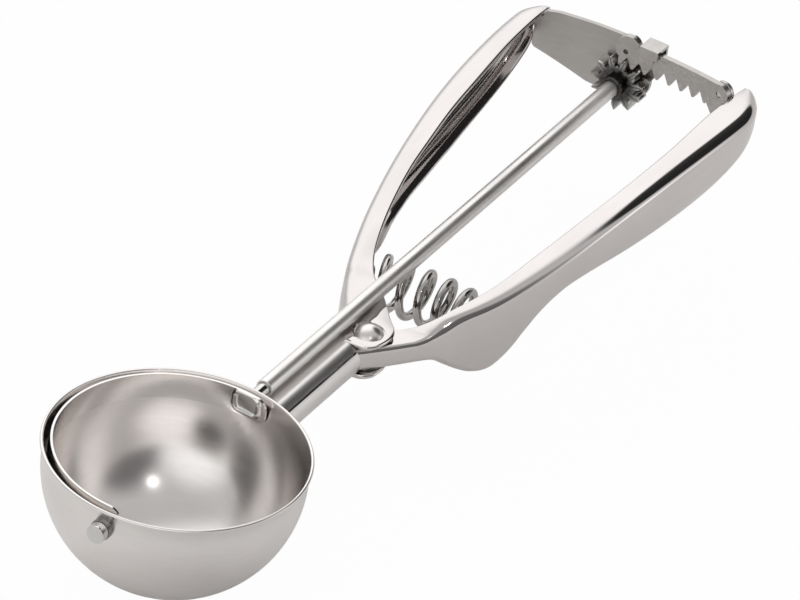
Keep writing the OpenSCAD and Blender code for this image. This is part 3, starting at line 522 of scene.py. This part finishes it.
# Curves along the shaft as (distance, value): how far out the outer wall and the sheet's edge lie,
# the width of the bottom lip, and the height of the top. The last one, the bottom, follows below.
LEFT = {
    "wall": [(62, -3.6), (70, -3.6), (78.2, -5.2), (85.7, -8.9), (93.9, -12.4), (101.5, -14.8),
             (113, -17.9), (126, -20.8), (139, -23.1), (152, -25.1), (164, -26.5), (176, -27.5),
             (188, -28.1), (204, -28.2)],
    "edge": [(62, 3), (66.9, 3), (67.3, 6.6), (69, 9), (72, 10.1), (75.5, 10.3), (78.3, 9.2), (81.2, 6.5),
             (84.5, 3.8), (87.8, 0.9), (90, -1.8), (92.2, -4.3), (96, -6.9), (100.2, -8.8), (108, -11.2),
             (116, -13.3), (126, -15.4), (137, -16.9), (150, -18.6), (163, -19.8), (180, -21.5),
             (190, -22.1), (204, -22.6)],
    "lip": [(62, 6.6), (66.9, 6.6), (67.3, 10.2), (69, 12.6), (72, 13.7), (75.5, 14.1), (78.3, 13.4),
            (81.2, 11.8), (84.5, 7), (88, 3.2), (93, 1.8), (99, 1.3), (104, 1.3), (106.5, 1.6), (109, 3.2),
            (112, 4.4), (117, 4.8), (128, 5.7), (141, 6.3), (160, 6.2), (192, 5.7), (195.5, 5.4),
            (197.7, 4.6), (199.8, 2.7), (204, 2)],
    "top": [(62, NECK_TOP), (84, NECK_TOP), (88.6, NECK_TOP), (90.5, NECK_TOP + 0.4),
            (92.5, NECK_TOP + 1.2), (96, -0.2), (101, 1.6), (106, 3), (113, 4.1), (126, 6), (139, 7.7),
            (152, 8.8), (164, 9.4), (176, GRIP_TOP - 0.1), (190, GRIP_TOP), (198, GRIP_TOP - 0.2),
            (204, GRIP_TOP - 0.8)],
}
RIGHT = {
    "wall": [(67.2, 6.4), (71, 9.3), (75.8, 12.8), (80.5, 16), (84, 18.1), (88.6, 20.5), (97.5, 24.4),
             (108, 27.5), (120, 30.2), (133, 32.4), (146, 34.2), (161, 35.8), (175, 37), (188, 37.8),
             (204, 38)],
    "edge": [(67.2, 4.9), (68.2, 3.4), (70, 1.6), (72, 0.6), (73.8, 0.4), (75.6, 0.9), (77.3, 2.4),
             (78.8, 5.2), (80.2, 8.2), (82, 11), (84.3, 13.6), (88, 16.3), (95.7, 19.2), (103, 21.2),
             (112, 22.8), (130, 25.6), (148, 27.9), (167, 29.2), (187, 29.2), (196, 29.6), (204, 30.1)],
    "lip": [(67.2, 1.5), (68.2, 3.8), (70, 7), (72, 9.5), (73.8, 11), (75.6, 11.8), (77.3, 11.5),
            (78.8, 9.7), (80.2, 7.6), (82, 5.6), (85, 3.6), (89, 2.2), (94, 1.5), (99, 1.3), (104, 1.3),
            (106.5, 1.6), (109, 3.2), (112, 4.4), (117, 4.8), (128, 5.7), (141, 6.3), (160, 6.2), (204, 5.6)],
    "top": [(67.2, MOVING_TOP), (78, MOVING_TOP), (79.4, MOVING_TOP), (81.5, -3.4), (84.4, -1.8),
            (88.6, 0.2), (95, 1.3), (101, 2.2), (108, 3.3), (120, 5.1), (133, 6.9), (146, 8.3), (161, 9.3),
            (175, GRIP_TOP - 0.1), (190, GRIP_TOP), (198, GRIP_TOP - 0.2), (204, GRIP_TOP - 0.8)],
}


def underside(start):
    """Flat under the neck, down round the finger guard, along the grip and up to the round end."""
    return [(62, start), (78, start), (80, start), (83.5, start - 0.5), (86.5, -12.2), (89.6, -14.4),
            (93.5, -16.5), (98.2, -17), (103.2, -14.5), (107.2, -11.3), (111.2, -8.2), (115.4, -6),
            (121, -4.4), (130, -4), (145, -4.3), (158, -4.3), (172.5, -3.7), (182, -2.5), (189, -0.7),
            (195, 1.8), (200, 4.2), (204, 6.4)]


LEFT["low"] = underside(neck_low)
RIGHT["low"] = underside(MOVING_LOW)


def at(curve, y):
    """The value of a curve of (distance, value) pairs, joined by a smooth spline."""
    def rise(k):
        a, b = curve[max(k - 1, 0)], curve[min(k + 1, len(curve) - 1)]
        return (b[1] - a[1]) / (b[0] - a[0])

    i = 0
    while i < len(curve) - 2 and y > curve[i + 1][0]:
        i += 1
    (y0, v0), (y1, v1) = curve[i], curve[i + 1]
    h = y1 - y0
    s = min(1, max(0, (y - y0) / h))
    return (v0 * (1 + 2 * s) * (1 - s) ** 2 + v1 * s * s * (3 - 2 * s)
            + h * s * (1 - s) * (rise(i) * (1 - s) - rise(i + 1) * s))


WALL_LEAN = 1.12
CORNER_REACH, REACH_FROM, REACH_OVER = 1.6, 84, 24
ROUND_PART, TOP_PART, INNER_PART, TIP_PART = 0.9, 0.6, 0.75, 0.1
INNER_DROP, LEAST_R = 0.8, 0.03
LEAST_HOLLOW, LEAST_LIP = 0.3, 0.25


def channel(curves, side, y, inset, top_r, low_r, nose):
    """One section of a handle: out over the top flange, down the wall, and back inside the sheet."""
    edge = at(curves["edge"], y)
    wall = at(curves["wall"], y) - side * inset
    top, low = at(curves["top"], y) - inset, at(curves["low"], y) + inset
    skin = SHEET - 2 * inset
    start = HANDLE_END - nose * NOSE_PART

    def shrink(length):
        """The share of its width that the section keeps in the round end."""
        return 1 if y <= start else math.sqrt(max(0, 1 - ((y - start) / length) ** 2))

    depth = abs(wall - edge) * shrink(nose)
    hollow = max(LEAST_HOLLOW, (abs(wall - edge) - skin * WALL_LEAN) * shrink(nose - skin))
    lip = min(at(curves["lip"], y), depth)
    lip_hollow = max(LEAST_LIP, lip - (depth - hollow))
    half = (top - low) / 2 - 0.05
    outer_top = min(top_r, depth * ROUND_PART, half)
    outer_low = min(low_r, lip * ROUND_PART, half)
    inner_top = max(LEAST_R, min(outer_top - skin * INNER_DROP, hollow * INNER_PART, half - skin))
    inner_low = max(LEAST_R, min(outer_low - skin * INNER_DROP, lip_hollow * INNER_PART, half - skin))
    out_x, in_x = edge + side * depth, edge + side * hollow
    lip_x = out_x - side * lip

    def sheet_edge(x, mid, room, first):
        """The round edge of the sheet."""
        reach = min(skin / 2, room)
        return [(x + side * reach * (1 - math.cos(a)), mid + first * skin / 2 * math.sin(a))
                for a in [math.radians(t) for t in range(-78, 79, 26)]]

    def corner(x, z, r, up, out, reach=1):
        """A quarter round between a flange and the wall, sideways longer by its reach."""
        turns = [math.radians(t * 7.5) for t in range(13)]
        path = [(x - side * r * reach * (1 - math.sin(a)), z - up * r * (1 - math.cos(a))) for a in turns]
        return path if out else path[::-1]

    grip = min(1, max(0, (y - REACH_FROM) / REACH_OVER))
    top_reach = max(1, min(1 + (CORNER_REACH - 1) * grip, depth * TOP_PART / outer_top))
    return (sheet_edge(edge, top - skin / 2, depth * TIP_PART, 1)
            + corner(out_x, top, outer_top, 1, True, top_reach) + corner(out_x, low, outer_low, -1, False)
            + sheet_edge(lip_x, low + skin / 2, lip * TIP_PART, -1)
            + corner(in_x, low + skin, inner_low, -1, True) + corner(in_x, top - skin, inner_top, 1, False))


def bent_sheet(name, rows):
    """Joins rows of (x, y, z) in mm into one skin and closes both of its ends.

    Each row runs along the outer face of the sheet and back along its inner face.
    """
    n, faces = len(rows[0]), []
    last = (len(rows) - 1) * n
    for a in range(0, last, n):
        faces += [(a + k, a + (k + 1) % n, a + n + (k + 1) % n, a + n + k) for k in range(n)]
    for end in (0, last):
        faces += [(end + k, end + k + 1, end + n - 2 - k, end + n - 1 - k) for k in range(n // 2 - 1)]
    return mesh_object(name, [(x * MM, y * MM, z * MM) for row in rows for x, y, z in row], faces)


GUARD_STEP, GUARD_TO, GRIP_STEP, NOSE_STEPS = 0.55, 112, 1.5, 24


def stations(first, nose):
    """Where a handle's sections lie: close together round the guard and towards the tip of the nose."""
    start = HANDLE_END - nose * NOSE_PART
    guard = [first + GUARD_STEP * k for k in range(int((GUARD_TO - first) / GUARD_STEP) + 1)]
    grip = [GUARD_TO + 0.5 + GRIP_STEP * k for k in range(int((start - GUARD_TO - 1) / GRIP_STEP) + 1)]
    tip = [start + nose * NOSE_PART * math.sin(math.radians(k * 90 / NOSE_STEPS))
           for k in range(NOSE_STEPS + 1)]
    return guard + grip + tip


handle_steel = steel("handle_steel", (0.71, 0.675, 0.665), (0.65, 0.62, 0.61), 0.05, 0.11,
                     (1, 0.08, 1), 0.0006)


def cut(obj, cutter):
    """Takes the cutter out of the piece and throws the cutter away."""
    away = obj.modifiers.new("cut", "BOOLEAN")
    away.object = cutter
    away.solver = "EXACT"
    made = bpy.data.meshes.new_from_object(obj.evaluated_get(bpy.context.evaluated_depsgraph_get()))
    obj.modifiers.clear()
    obj.data = made
    bpy.data.objects.remove(cutter)


def at_rivet(obj):
    """Moves a piece that was spun about the upright axis to the rivet's place."""
    obj.data.transform(Matrix.Translation((RIVET[0] * MM, RIVET[1] * MM, 0)))
    return obj


# The top corner's radius changes beyond the ears: down from the neck's on the left handle, up from
# the moving neck's on the right one. Inside the neck's tube the left sheet is drawn in a little.
LEFT_EAR_TO, RIGHT_EAR_TO = 78, 82
MOVING_R, GRIP_TOP_R, GRIP_LOW_R = 1.4, 2.3, 2
SLOW, FAST = 0.15, 0.3
left_rows = []
for y in stations(NECK_Y - 3, LEFT_NOSE):
    inset = NECK_INSET if y < NECK_Y + 0.2 else 0
    top_r = low_r = neck_r - inset
    if y >= LEFT_EAR_TO:
        top_r = max(GRIP_TOP_R, neck_r - (y - LEFT_EAR_TO) * SLOW)
        low_r = max(GRIP_LOW_R, neck_r - (y - LEFT_EAR_TO) * FAST)
    left_rows.append([(x, y, z) for x, z in channel(LEFT, -1, y, inset, top_r, low_r, LEFT_NOSE)])
left_handle = bent_sheet("left_handle", left_rows)
smooth(left_handle, 40)
dish_low, dish_high = NECK_TOP - DISH, NECK_TOP + 1
cut(left_handle, at_rivet(spun("dish", [
    (0, dish_low), (DISH_R, dish_low), (DISH_R, dish_high), (0, dish_high)], TURNED_STEPS)))
smooth(left_handle, 40)
fitted(left_handle, "fixed_body", "handle_steel", handle_steel, "fixed_handle")

right_rows = []
for y in stations(MOVING_FROM, RIGHT_NOSE):
    top_r = min(GRIP_TOP_R, MOVING_R + max(0, y - RIGHT_EAR_TO) * FAST)
    right_rows.append([(x, y, z) for x, z in channel(RIGHT, 1, y, 0, top_r, MOVING_R, RIGHT_NOSE)])
right_handle = bent_sheet("right_handle", right_rows)
smooth(right_handle, 40)
fitted(right_handle, "lever", "handle_steel", handle_steel, "moving_handle")

# ---- neck ------------------------------------------------------------------------------------
# The fixed handle's own sheet, rolled into a flattened tube with an open seam and welded to the
# bowl, whose round its front end follows.

SEAM_W, SEAM_A = 0.45, 44
NECK_IN = 0.15
neck_steel = steel("neck_steel", (0.86, 0.83, 0.815), (0.76, 0.735, 0.72), 0.24, 0.36, (1, 0.08, 1), 0.0008)


def neck_ring(inset):
    """The tube seen along the shaft, from one side of the seam round to its other side."""
    reach = NECK_W / 2 - neck_r
    r = neck_r - inset
    half_gap = math.degrees(SEAM_W / 2 / r)
    right = (NECK_X + reach, neck_z)
    left = (NECK_X - reach, neck_z)
    return (arc(*right, r, SEAM_A + half_gap, 90, 10) + arc(*left, r, 90, 270, 40)
            + arc(*right, r, -90, SEAM_A - half_gap, 30))


ring = neck_ring(0) + neck_ring(SHEET)[::-1]
fronts = [math.sqrt(max(0, outside ** 2 - x * x - z * z)) - NECK_IN for x, z in ring]
neck_y = (fronts, [y + 1 for y in fronts], [NECK_Y - 0.25] * len(ring), [NECK_Y] * len(ring))
neck = bent_sheet("neck", [[(x, y, z) for (x, z), y in zip(ring, row)] for row in neck_y])
smooth(neck, 40)
fitted(neck, "fixed_body", "handle_steel", neck_steel)

# ---- pivot of the handles --------------------------------------------------------------------
# A domed rivet through both ears, with a spacer sleeve and two shims round its shank, so that
# riveting doesn't clamp the moving handle's neck.

RIVET_D, RIVET_HEAD_D, RIVET_HEAD_H, RIVET_FOOT_H = 4.0, 7.0, 2.0, 0.9
SLEEVE_T, SHIM_W, SHIM_GAP = 0.8, 1.3, 0.05
seat, foot = NECK_TOP - DISH, neck_low + DISH
rivet_r, head_r = RIVET_D / 2, RIVET_HEAD_D / 2
dome_r = (head_r ** 2 + RIVET_HEAD_H ** 2) / (2 * RIVET_HEAD_H)
dome_turn = math.degrees(math.asin(head_r / dome_r))
below_dome = eased([(0, foot - RIVET_FOOT_H), (head_r, foot - RIVET_FOOT_H), (head_r, foot), (rivet_r, foot),
                    (rivet_r, seat), (head_r, seat)], 0.15)
dome = arc(0, seat + RIVET_HEAD_H - dome_r, dome_r, 90 - dome_turn, 90, 16)[:-1]
rivet = at_rivet(spun("rivet", below_dome + dome + [(0, seat + RIVET_HEAD_H)]))
fitted(rivet, "fixed_body", "bright_steel", neck_steel, "pivot_rivet")
shank = rivet_r + SLEEVE_T
for name, inner_r, outer_r, low, high in (
        ("pivot_sleeve", rivet_r, shank, neck_low + SHEET, NECK_TOP - SHEET),
        ("upper_pivot_washer", shank, shank + SHIM_W, MOVING_TOP + SHIM_GAP, NECK_TOP - SHEET),
        ("lower_pivot_washer", shank, shank + SHIM_W, neck_low + SHEET, MOVING_LOW - SHIM_GAP)):
    shim = at_rivet(spun(name + "_ring", eased(sleeve(inner_r, outer_r, low, high), 0.05), TURNED_STEPS))
    fitted(shim, "fixed_body", "dark_steel", dark_steel, name)

# ---- spring ----------------------------------------------------------------------------------
# An open coil of bright drawn wire between the handles. Its ends sit over studs that are welded
# into the channels.

wire_steel = steel("wire_steel", (0.60, 0.585, 0.57), (0.36, 0.35, 0.34), 0.05, 0.12, (1, 1, 1), 0.0008)
COIL_D, WIRE_D = 13.4, 2.0
COIL_Y, COIL_Z, COIL_BOW, COIL_TURNS, COIL_START = 99.8, -8.9, 2.2, 6.5, -11
END_TURNS, END_PITCH = 0.3, WIRE_D * 1.05
STEPS_A_TURN = 56
SEAT_GAP = 0.35
coil_seat = SHEET * WALL_LEAN + SEAT_GAP
coil_x0 = at(LEFT["wall"], COIL_Y) + coil_seat
coil_x1 = at(RIGHT["wall"], COIL_Y) - coil_seat
coil_len = coil_x1 - coil_x0 - WIRE_D
all_turns = COIL_TURNS + 2 * END_TURNS


def coil_run(t):
    """How far along its axis the coil has come after t turns: its ends are closed."""
    if t < END_TURNS:
        return t * END_PITCH
    if t > all_turns - END_TURNS:
        return coil_len - (all_turns - t) * END_PITCH
    return END_TURNS * END_PITCH + (t - END_TURNS) * (coil_len - 2 * END_TURNS * END_PITCH) / COIL_TURNS


def coil_middle(t):
    """The middle of the wire after t turns, round an axis that bows back between the sloping walls."""
    share = 2 * coil_run(t) / coil_len - 1
    lean = math.atan(-4 * COIL_BOW * share / coil_len)
    r, turn = (COIL_D - WIRE_D) / 2, math.radians(t * 360 + COIL_START)
    return ((coil_x0 + WIRE_D / 2 + coil_run(t) - r * math.cos(turn) * math.sin(lean)) * MM,
            (COIL_Y + COIL_BOW * (1 - share ** 2) + r * math.cos(turn) * math.cos(lean)) * MM,
            (COIL_Z + r * math.sin(turn)) * MM)


def new_tree(name, *inputs):
    """An empty geometry tree with a mesh in, a mesh out and the named inputs (name, kind, value)."""
    tree = bpy.data.node_groups.new(name, "GeometryNodeTree")
    socket(tree, "Mesh", "NodeSocketGeometry", "INPUT")
    for label, kind, value in inputs:
        socket(tree, label, kind, "INPUT", value)
    socket(tree, "Mesh", "NodeSocketGeometry", "OUTPUT")
    return tree


def grown(obj, tree, values):
    """Runs the tree on the mesh with the given inputs and keeps the result as a plain mesh."""
    grow = obj.modifiers.new(tree.name, "NODES")
    grow.node_group = tree
    for item in tree.interface.items_tree:
        if item.in_out == "INPUT" and item.name in values:
            grow[item.identifier] = values[item.name]
    made = bpy.data.meshes.new_from_object(obj.evaluated_get(bpy.context.evaluated_depsgraph_get()))
    obj.modifiers.clear()
    obj.data = made


def ended(tree, last, material):
    """The tree's last steps: plain mesh, its finish, out."""
    plain, finish, out = [tree.nodes.new(kind) for kind in (
        "GeometryNodeRealizeInstances", "GeometryNodeSetMaterial", "NodeGroupOutput")]
    finish.inputs["Material"].default_value = material
    tree.links.new(last, plain.inputs[0])
    tree.links.new(plain.outputs[0], finish.inputs["Geometry"])
    tree.links.new(finish.outputs[0], out.inputs[0])


def swept_wire():
    """Draws a round wire along the mesh's edges, with closed ends."""
    tree = new_tree("swept_wire", ("Wire Diameter", "NodeSocketFloat", 0.002),
                    ("Sides", "NodeSocketInt", 16))
    given, half, line, ring, wire = [tree.nodes.new(kind) for kind in (
        "NodeGroupInput", "ShaderNodeMath", "GeometryNodeMeshToCurve", "GeometryNodeCurvePrimitiveCircle",
        "GeometryNodeCurveToMesh")]
    half.operation = "DIVIDE"
    half.inputs[1].default_value = 2
    wire.inputs["Fill Caps"].default_value = True
    link = tree.links.new
    link(given.outputs["Mesh"], line.inputs[0])
    link(given.outputs["Wire Diameter"], half.inputs[0])
    link(given.outputs["Sides"], ring.inputs["Resolution"])
    link(half.outputs[0], ring.inputs["Radius"])
    link(line.outputs[0], wire.inputs["Curve"])
    link(ring.outputs[0], wire.inputs["Profile Curve"])
    ended(tree, wire.outputs[0], wire_steel)
    return tree


coil_steps = int(all_turns * STEPS_A_TURN)
spring = mesh_object("spring", [coil_middle(all_turns * i / coil_steps) for i in range(coil_steps + 1)], [])
spring.data.edges.add(coil_steps)
spring.data.edges.foreach_set("vertices", [v for i in range(coil_steps) for v in (i, i + 1)])
grown(spring, swept_wire(), {"Wire Diameter": WIRE_D * MM, "Sides": 20})
smooth(spring, 40)
fitted(spring, "fixed_body", "spring_wire", wire_steel, "handle_spring")
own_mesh(spring)


def solid_copy(node, name, body, slot, material, edge, angle=30):
    """A CAD solid with its facets merged and smoothed, and its sharp edges broken by a small round."""
    made = bpy.data.objects.new(name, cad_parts[node].data.copy())
    bpy.context.scene.collection.objects.link(made)
    shape = bmesh.new()
    shape.from_mesh(made.data)
    bmesh.ops.remove_doubles(shape, verts=shape.verts, dist=2e-6)
    bmesh.ops.dissolve_limit(shape, angle_limit=math.radians(0.5), verts=shape.verts, edges=shape.edges)
    shape.to_mesh(made.data)
    shape.free()
    broken_edges(made, edge, angle)
    fitted(made, body, slot, material, node)


solid_copy("fixed_spring_stud", "fixed_stud", "fixed_body", "dark_steel", dark_steel, edge=0.15)
solid_copy("moving_spring_stud", "moving_stud", "lever", "dark_steel", dark_steel, edge=0.15)

# ---- pinion ----------------------------------------------------------------------------------
# A small cast steel wheel with eleven involute teeth, rounded edges and a hub. It is pressed on
# the shaft's end. Its colour carries painted shade in the gaps between its teeth and painted
# light on their tips.

PINION_TEETH, RACK_TEETH, PRESSURE_A = 11, 232, 28
RACK_R, RACK_T = 124.6, 1.5
ADDENDUM, TOOTH_ROOM, BACKLASH = 1.1, 0.3, 0.3
RACK_PHASE = 0.55
HUB_R, HUB_H = 2.8, 2.4
PINION_EDGE, EDGE_MID = 0.22, 0.07
CREST_H = 0.45
FOOT_RISE, FOOT_TURN, FLANK_RISE = 0.12, 0.6, 0.02
# over the crest's start: how far up, and the share of the tooth's width that is left there
SHOULDER, BROW = (0.2, 0.84), (0.35, 0.5)
# painted shade at the tooth roots and painted light at their tips, as shares of the clean tone
ROOT_SHADE, TIP_LIGHT = 0.18, 1.25
pinion_low, pinion_high = [corner[1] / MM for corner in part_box("pinion")]
wheel_low = pinion_low + HUB_H
tooth_step = 360 / RACK_TEETH
pitch_r = (RACK_R + RACK_T / 2) * math.radians(tooth_step) * PINION_TEETH / (2 * math.pi)
base_r = pitch_r * math.cos(math.radians(PRESSURE_A))
root_r, tip_r = pitch_r - ADDENDUM - TOOTH_ROOM, pitch_r + ADDENDUM
crest_r = tip_r - CREST_H
pinion_steel = steel("pinion_steel", (0.62, 0.60, 0.58), (0.34, 0.33, 0.32), 0.10, 0.22, (1, 0.3, 1), 0.002)


def painted_root_shade(material, dark_r, light_r):
    """Painted shade between the teeth: the tone falls off towards the wheel's middle, and painted light lifts
    it above the clean tone at the tips.
    """
    nodes, link = material.node_tree.nodes, material.node_tree.links.new
    shader = nodes["Principled BSDF"]
    clean = shader.inputs["Base Color"].links[0].from_socket
    place, across, far, fade, tone = [nodes.new(kind) for kind in (
        "ShaderNodeTexCoord", "ShaderNodeVectorMath", "ShaderNodeVectorMath", "ShaderNodeMapRange",
        "ShaderNodeMix")]
    across.operation = "MULTIPLY"
    across.inputs[1].default_value = (1, 0, 1)
    far.operation = "LENGTH"
    fade.inputs["From Min"].default_value = dark_r * MM
    fade.inputs["From Max"].default_value = light_r * MM
    fade.inputs["To Min"].default_value = ROOT_SHADE
    fade.inputs["To Max"].default_value = TIP_LIGHT
    tone.data_type = "RGBA"
    tone.blend_type = "MULTIPLY"
    tone.inputs["Factor"].default_value = 1
    link(place.outputs["Object"], across.inputs[0])
    link(across.outputs[0], far.inputs[0])
    link(far.outputs["Value"], fade.inputs["Value"])
    link(clean, tone.inputs[6])
    link(fade.outputs["Result"], tone.inputs[7])
    link(tone.outputs[2], shader.inputs["Base Color"])


# paints shade into the tooth gaps and light onto the tips, in the pinion's colour
painted_root_shade(pinion_steel, root_r - 0.6, tip_r - 0.3)


def involute(a):
    """The involute function of an angle, all in degrees."""
    return math.degrees(math.tan(math.radians(a))) - a


def flank(r):
    """Half a tooth's angle at a radius."""
    half = 90 / PINION_TEETH - math.degrees(BACKLASH / 2 / pitch_r) + involute(PRESSURE_A)
    return half - involute(math.degrees(math.acos(min(1, base_r / r))))


def half_tooth(inset):
    """Half a tooth from the middle of the gap to its tip as (radius, angle), drawn in by the inset."""
    pull = math.degrees(inset)
    gap, foot_a, top_a = 180 / PINION_TEETH, flank(base_r), flank(crest_r)
    side_r = base_r + FLANK_RISE
    path = [(root_r - inset, gap - k * (gap - foot_a) / 3) for k in range(3)]
    path += [(root_r + FOOT_RISE - inset, foot_a + FOOT_TURN - pull / root_r)]
    path += [(r, flank(r) - pull / r) for r in [side_r + (crest_r - side_r) * k / 5 for k in range(6)]]
    path += [(crest_r + SHOULDER[0], top_a * SHOULDER[1] - pull / tip_r)]
    path += [(crest_r + BROW[0] - inset, top_a * BROW[1])]
    return path + [(tip_r - inset, 0)]


def toothed_wheel():
    """Sets the mesh, one tooth with half a gap on each side, round the shaft and welds the copies."""
    tree = new_tree("toothed_wheel", ("Teeth", "NodeSocketInt", 11), ("Turn", "NodeSocketFloat", 0.0))
    given, spots, number, share, turn, add, spin, copies, joined, weld = [tree.nodes.new(kind) for kind in (
        "NodeGroupInput", "GeometryNodeMeshLine", "GeometryNodeInputIndex", "ShaderNodeMath",
        "ShaderNodeMath", "ShaderNodeMath", "ShaderNodeCombineXYZ", "GeometryNodeInstanceOnPoints",
        "GeometryNodeRealizeInstances", "GeometryNodeMergeByDistance")]
    share.operation = "DIVIDE"
    turn.operation = "MULTIPLY"
    turn.inputs[1].default_value = 2 * math.pi
    add.operation = "ADD"
    spots.inputs["Offset"].default_value = (0, 0, 0)
    weld.inputs["Distance"].default_value = 1e-6
    link = tree.links.new
    link(given.outputs["Teeth"], spots.inputs["Count"])
    link(number.outputs[0], share.inputs[0])
    link(given.outputs["Teeth"], share.inputs[1])
    link(share.outputs[0], turn.inputs[0])
    link(turn.outputs[0], add.inputs[0])
    link(given.outputs["Turn"], add.inputs[1])
    link(add.outputs[0], spin.inputs["Y"])
    link(spots.outputs[0], copies.inputs["Points"])
    link(given.outputs["Mesh"], copies.inputs["Instance"])
    link(spin.outputs[0], copies.inputs["Rotation"])
    link(copies.outputs[0], joined.inputs[0])
    link(joined.outputs[0], weld.inputs[0])
    ended(tree, weld.outputs[0], pinion_steel)
    return tree


levels = [(wheel_low, PINION_EDGE), (wheel_low + EDGE_MID, EDGE_MID), (wheel_low + PINION_EDGE, 0),
          (pinion_high - PINION_EDGE, 0), (pinion_high - EDGE_MID, EDGE_MID), (pinion_high, PINION_EDGE)]
rows = []
for y, inset in levels:
    half = half_tooth(inset)
    rows.append([(r * math.sin(math.radians(a)), y, r * math.cos(math.radians(a)))
                 for r, a in half + [(r, -a) for r, a in reversed(half[:-1])]])
bore = []
for x, y, z in rows[0]:
    r = math.hypot(x, z)
    bore.append((x / r * SHAFT_D / 2, wheel_low, z / r * SHAFT_D / 2))
rows.insert(0, bore)
rows.append([(x, pinion_high, z) for x, y, z in bore])
n = len(bore)
faces = [(i * n + k, i * n + k + 1, j * n + k + 1, j * n + k)
         for i, j in zip(range(len(rows)), list(range(1, len(rows))) + [0]) for k in range(n - 1)]
wheel = mesh_object("pinion_wheel", [(x * MM, y * MM, z * MM) for row in rows for x, y, z in row], faces)
grown(wheel, toothed_wheel(), {"Teeth": PINION_TEETH,
                               "Turn": math.radians(RACK_PHASE / tooth_step * 360 / PINION_TEETH)})
smooth(wheel, 38)
fitted(wheel, "scraper", "gear_steel", pinion_steel, "pinion")
hub = on_shaft("pinion_hub", sleeve(SHAFT_D / 2, HUB_R, pinion_low, wheel_low), ease=0.3)
fitted(hub, "scraper", "gear_steel", pinion_steel)

# ---- rack ------------------------------------------------------------------------------------
# A toothed bar punched from dull steel strip and curved round the rivet, its edges broken. Its
# right lobe is riveted to a bracket inside the moving handle, over a washer; a stop disc is fixed
# behind its left lobe.

gear_steel = steel("gear_steel", (0.58, 0.56, 0.54), (0.44, 0.42, 0.405), 0.20, 0.34, (1, 1, 1), 0.003)
solid_copy("rack", "toothed_bar", "lever", "gear_steel", gear_steel, edge=0.14, angle=25)
solid_copy("rack_stop_disc", "stop_disc", "lever", "gear_steel", pin_steel, edge=0.12)
solid_copy("rack_bracket", "bracket", "lever", "gear_steel", gear_steel, edge=0.1)
solid_copy("rack_washer", "washer", "lever", "bright_steel", pin_steel, edge=0.08)
solid_copy("rack_rivet", "small_rivet", "lever", "bright_steel", pin_steel, edge=0.1)

# ---- end plate and guide ---------------------------------------------------------------------
# A plate of satin sheet steel, pressed flat, closes the fixed handle's end. A small strap of the
# rack's dull steel, folded over the rack and fixed to the plate, keeps the rack down.

plate_steel = steel("plate_steel", (0.54, 0.52, 0.50), (0.44, 0.42, 0.405), 0.26, 0.40, (0.1, 1, 1), 0.002)
solid_copy("end_plate", "plate", "fixed_body", "plate_steel", plate_steel, edge=0.15)
solid_copy("rack_guide", "guide", "fixed_body", "bright_steel", gear_steel, edge=0.25)
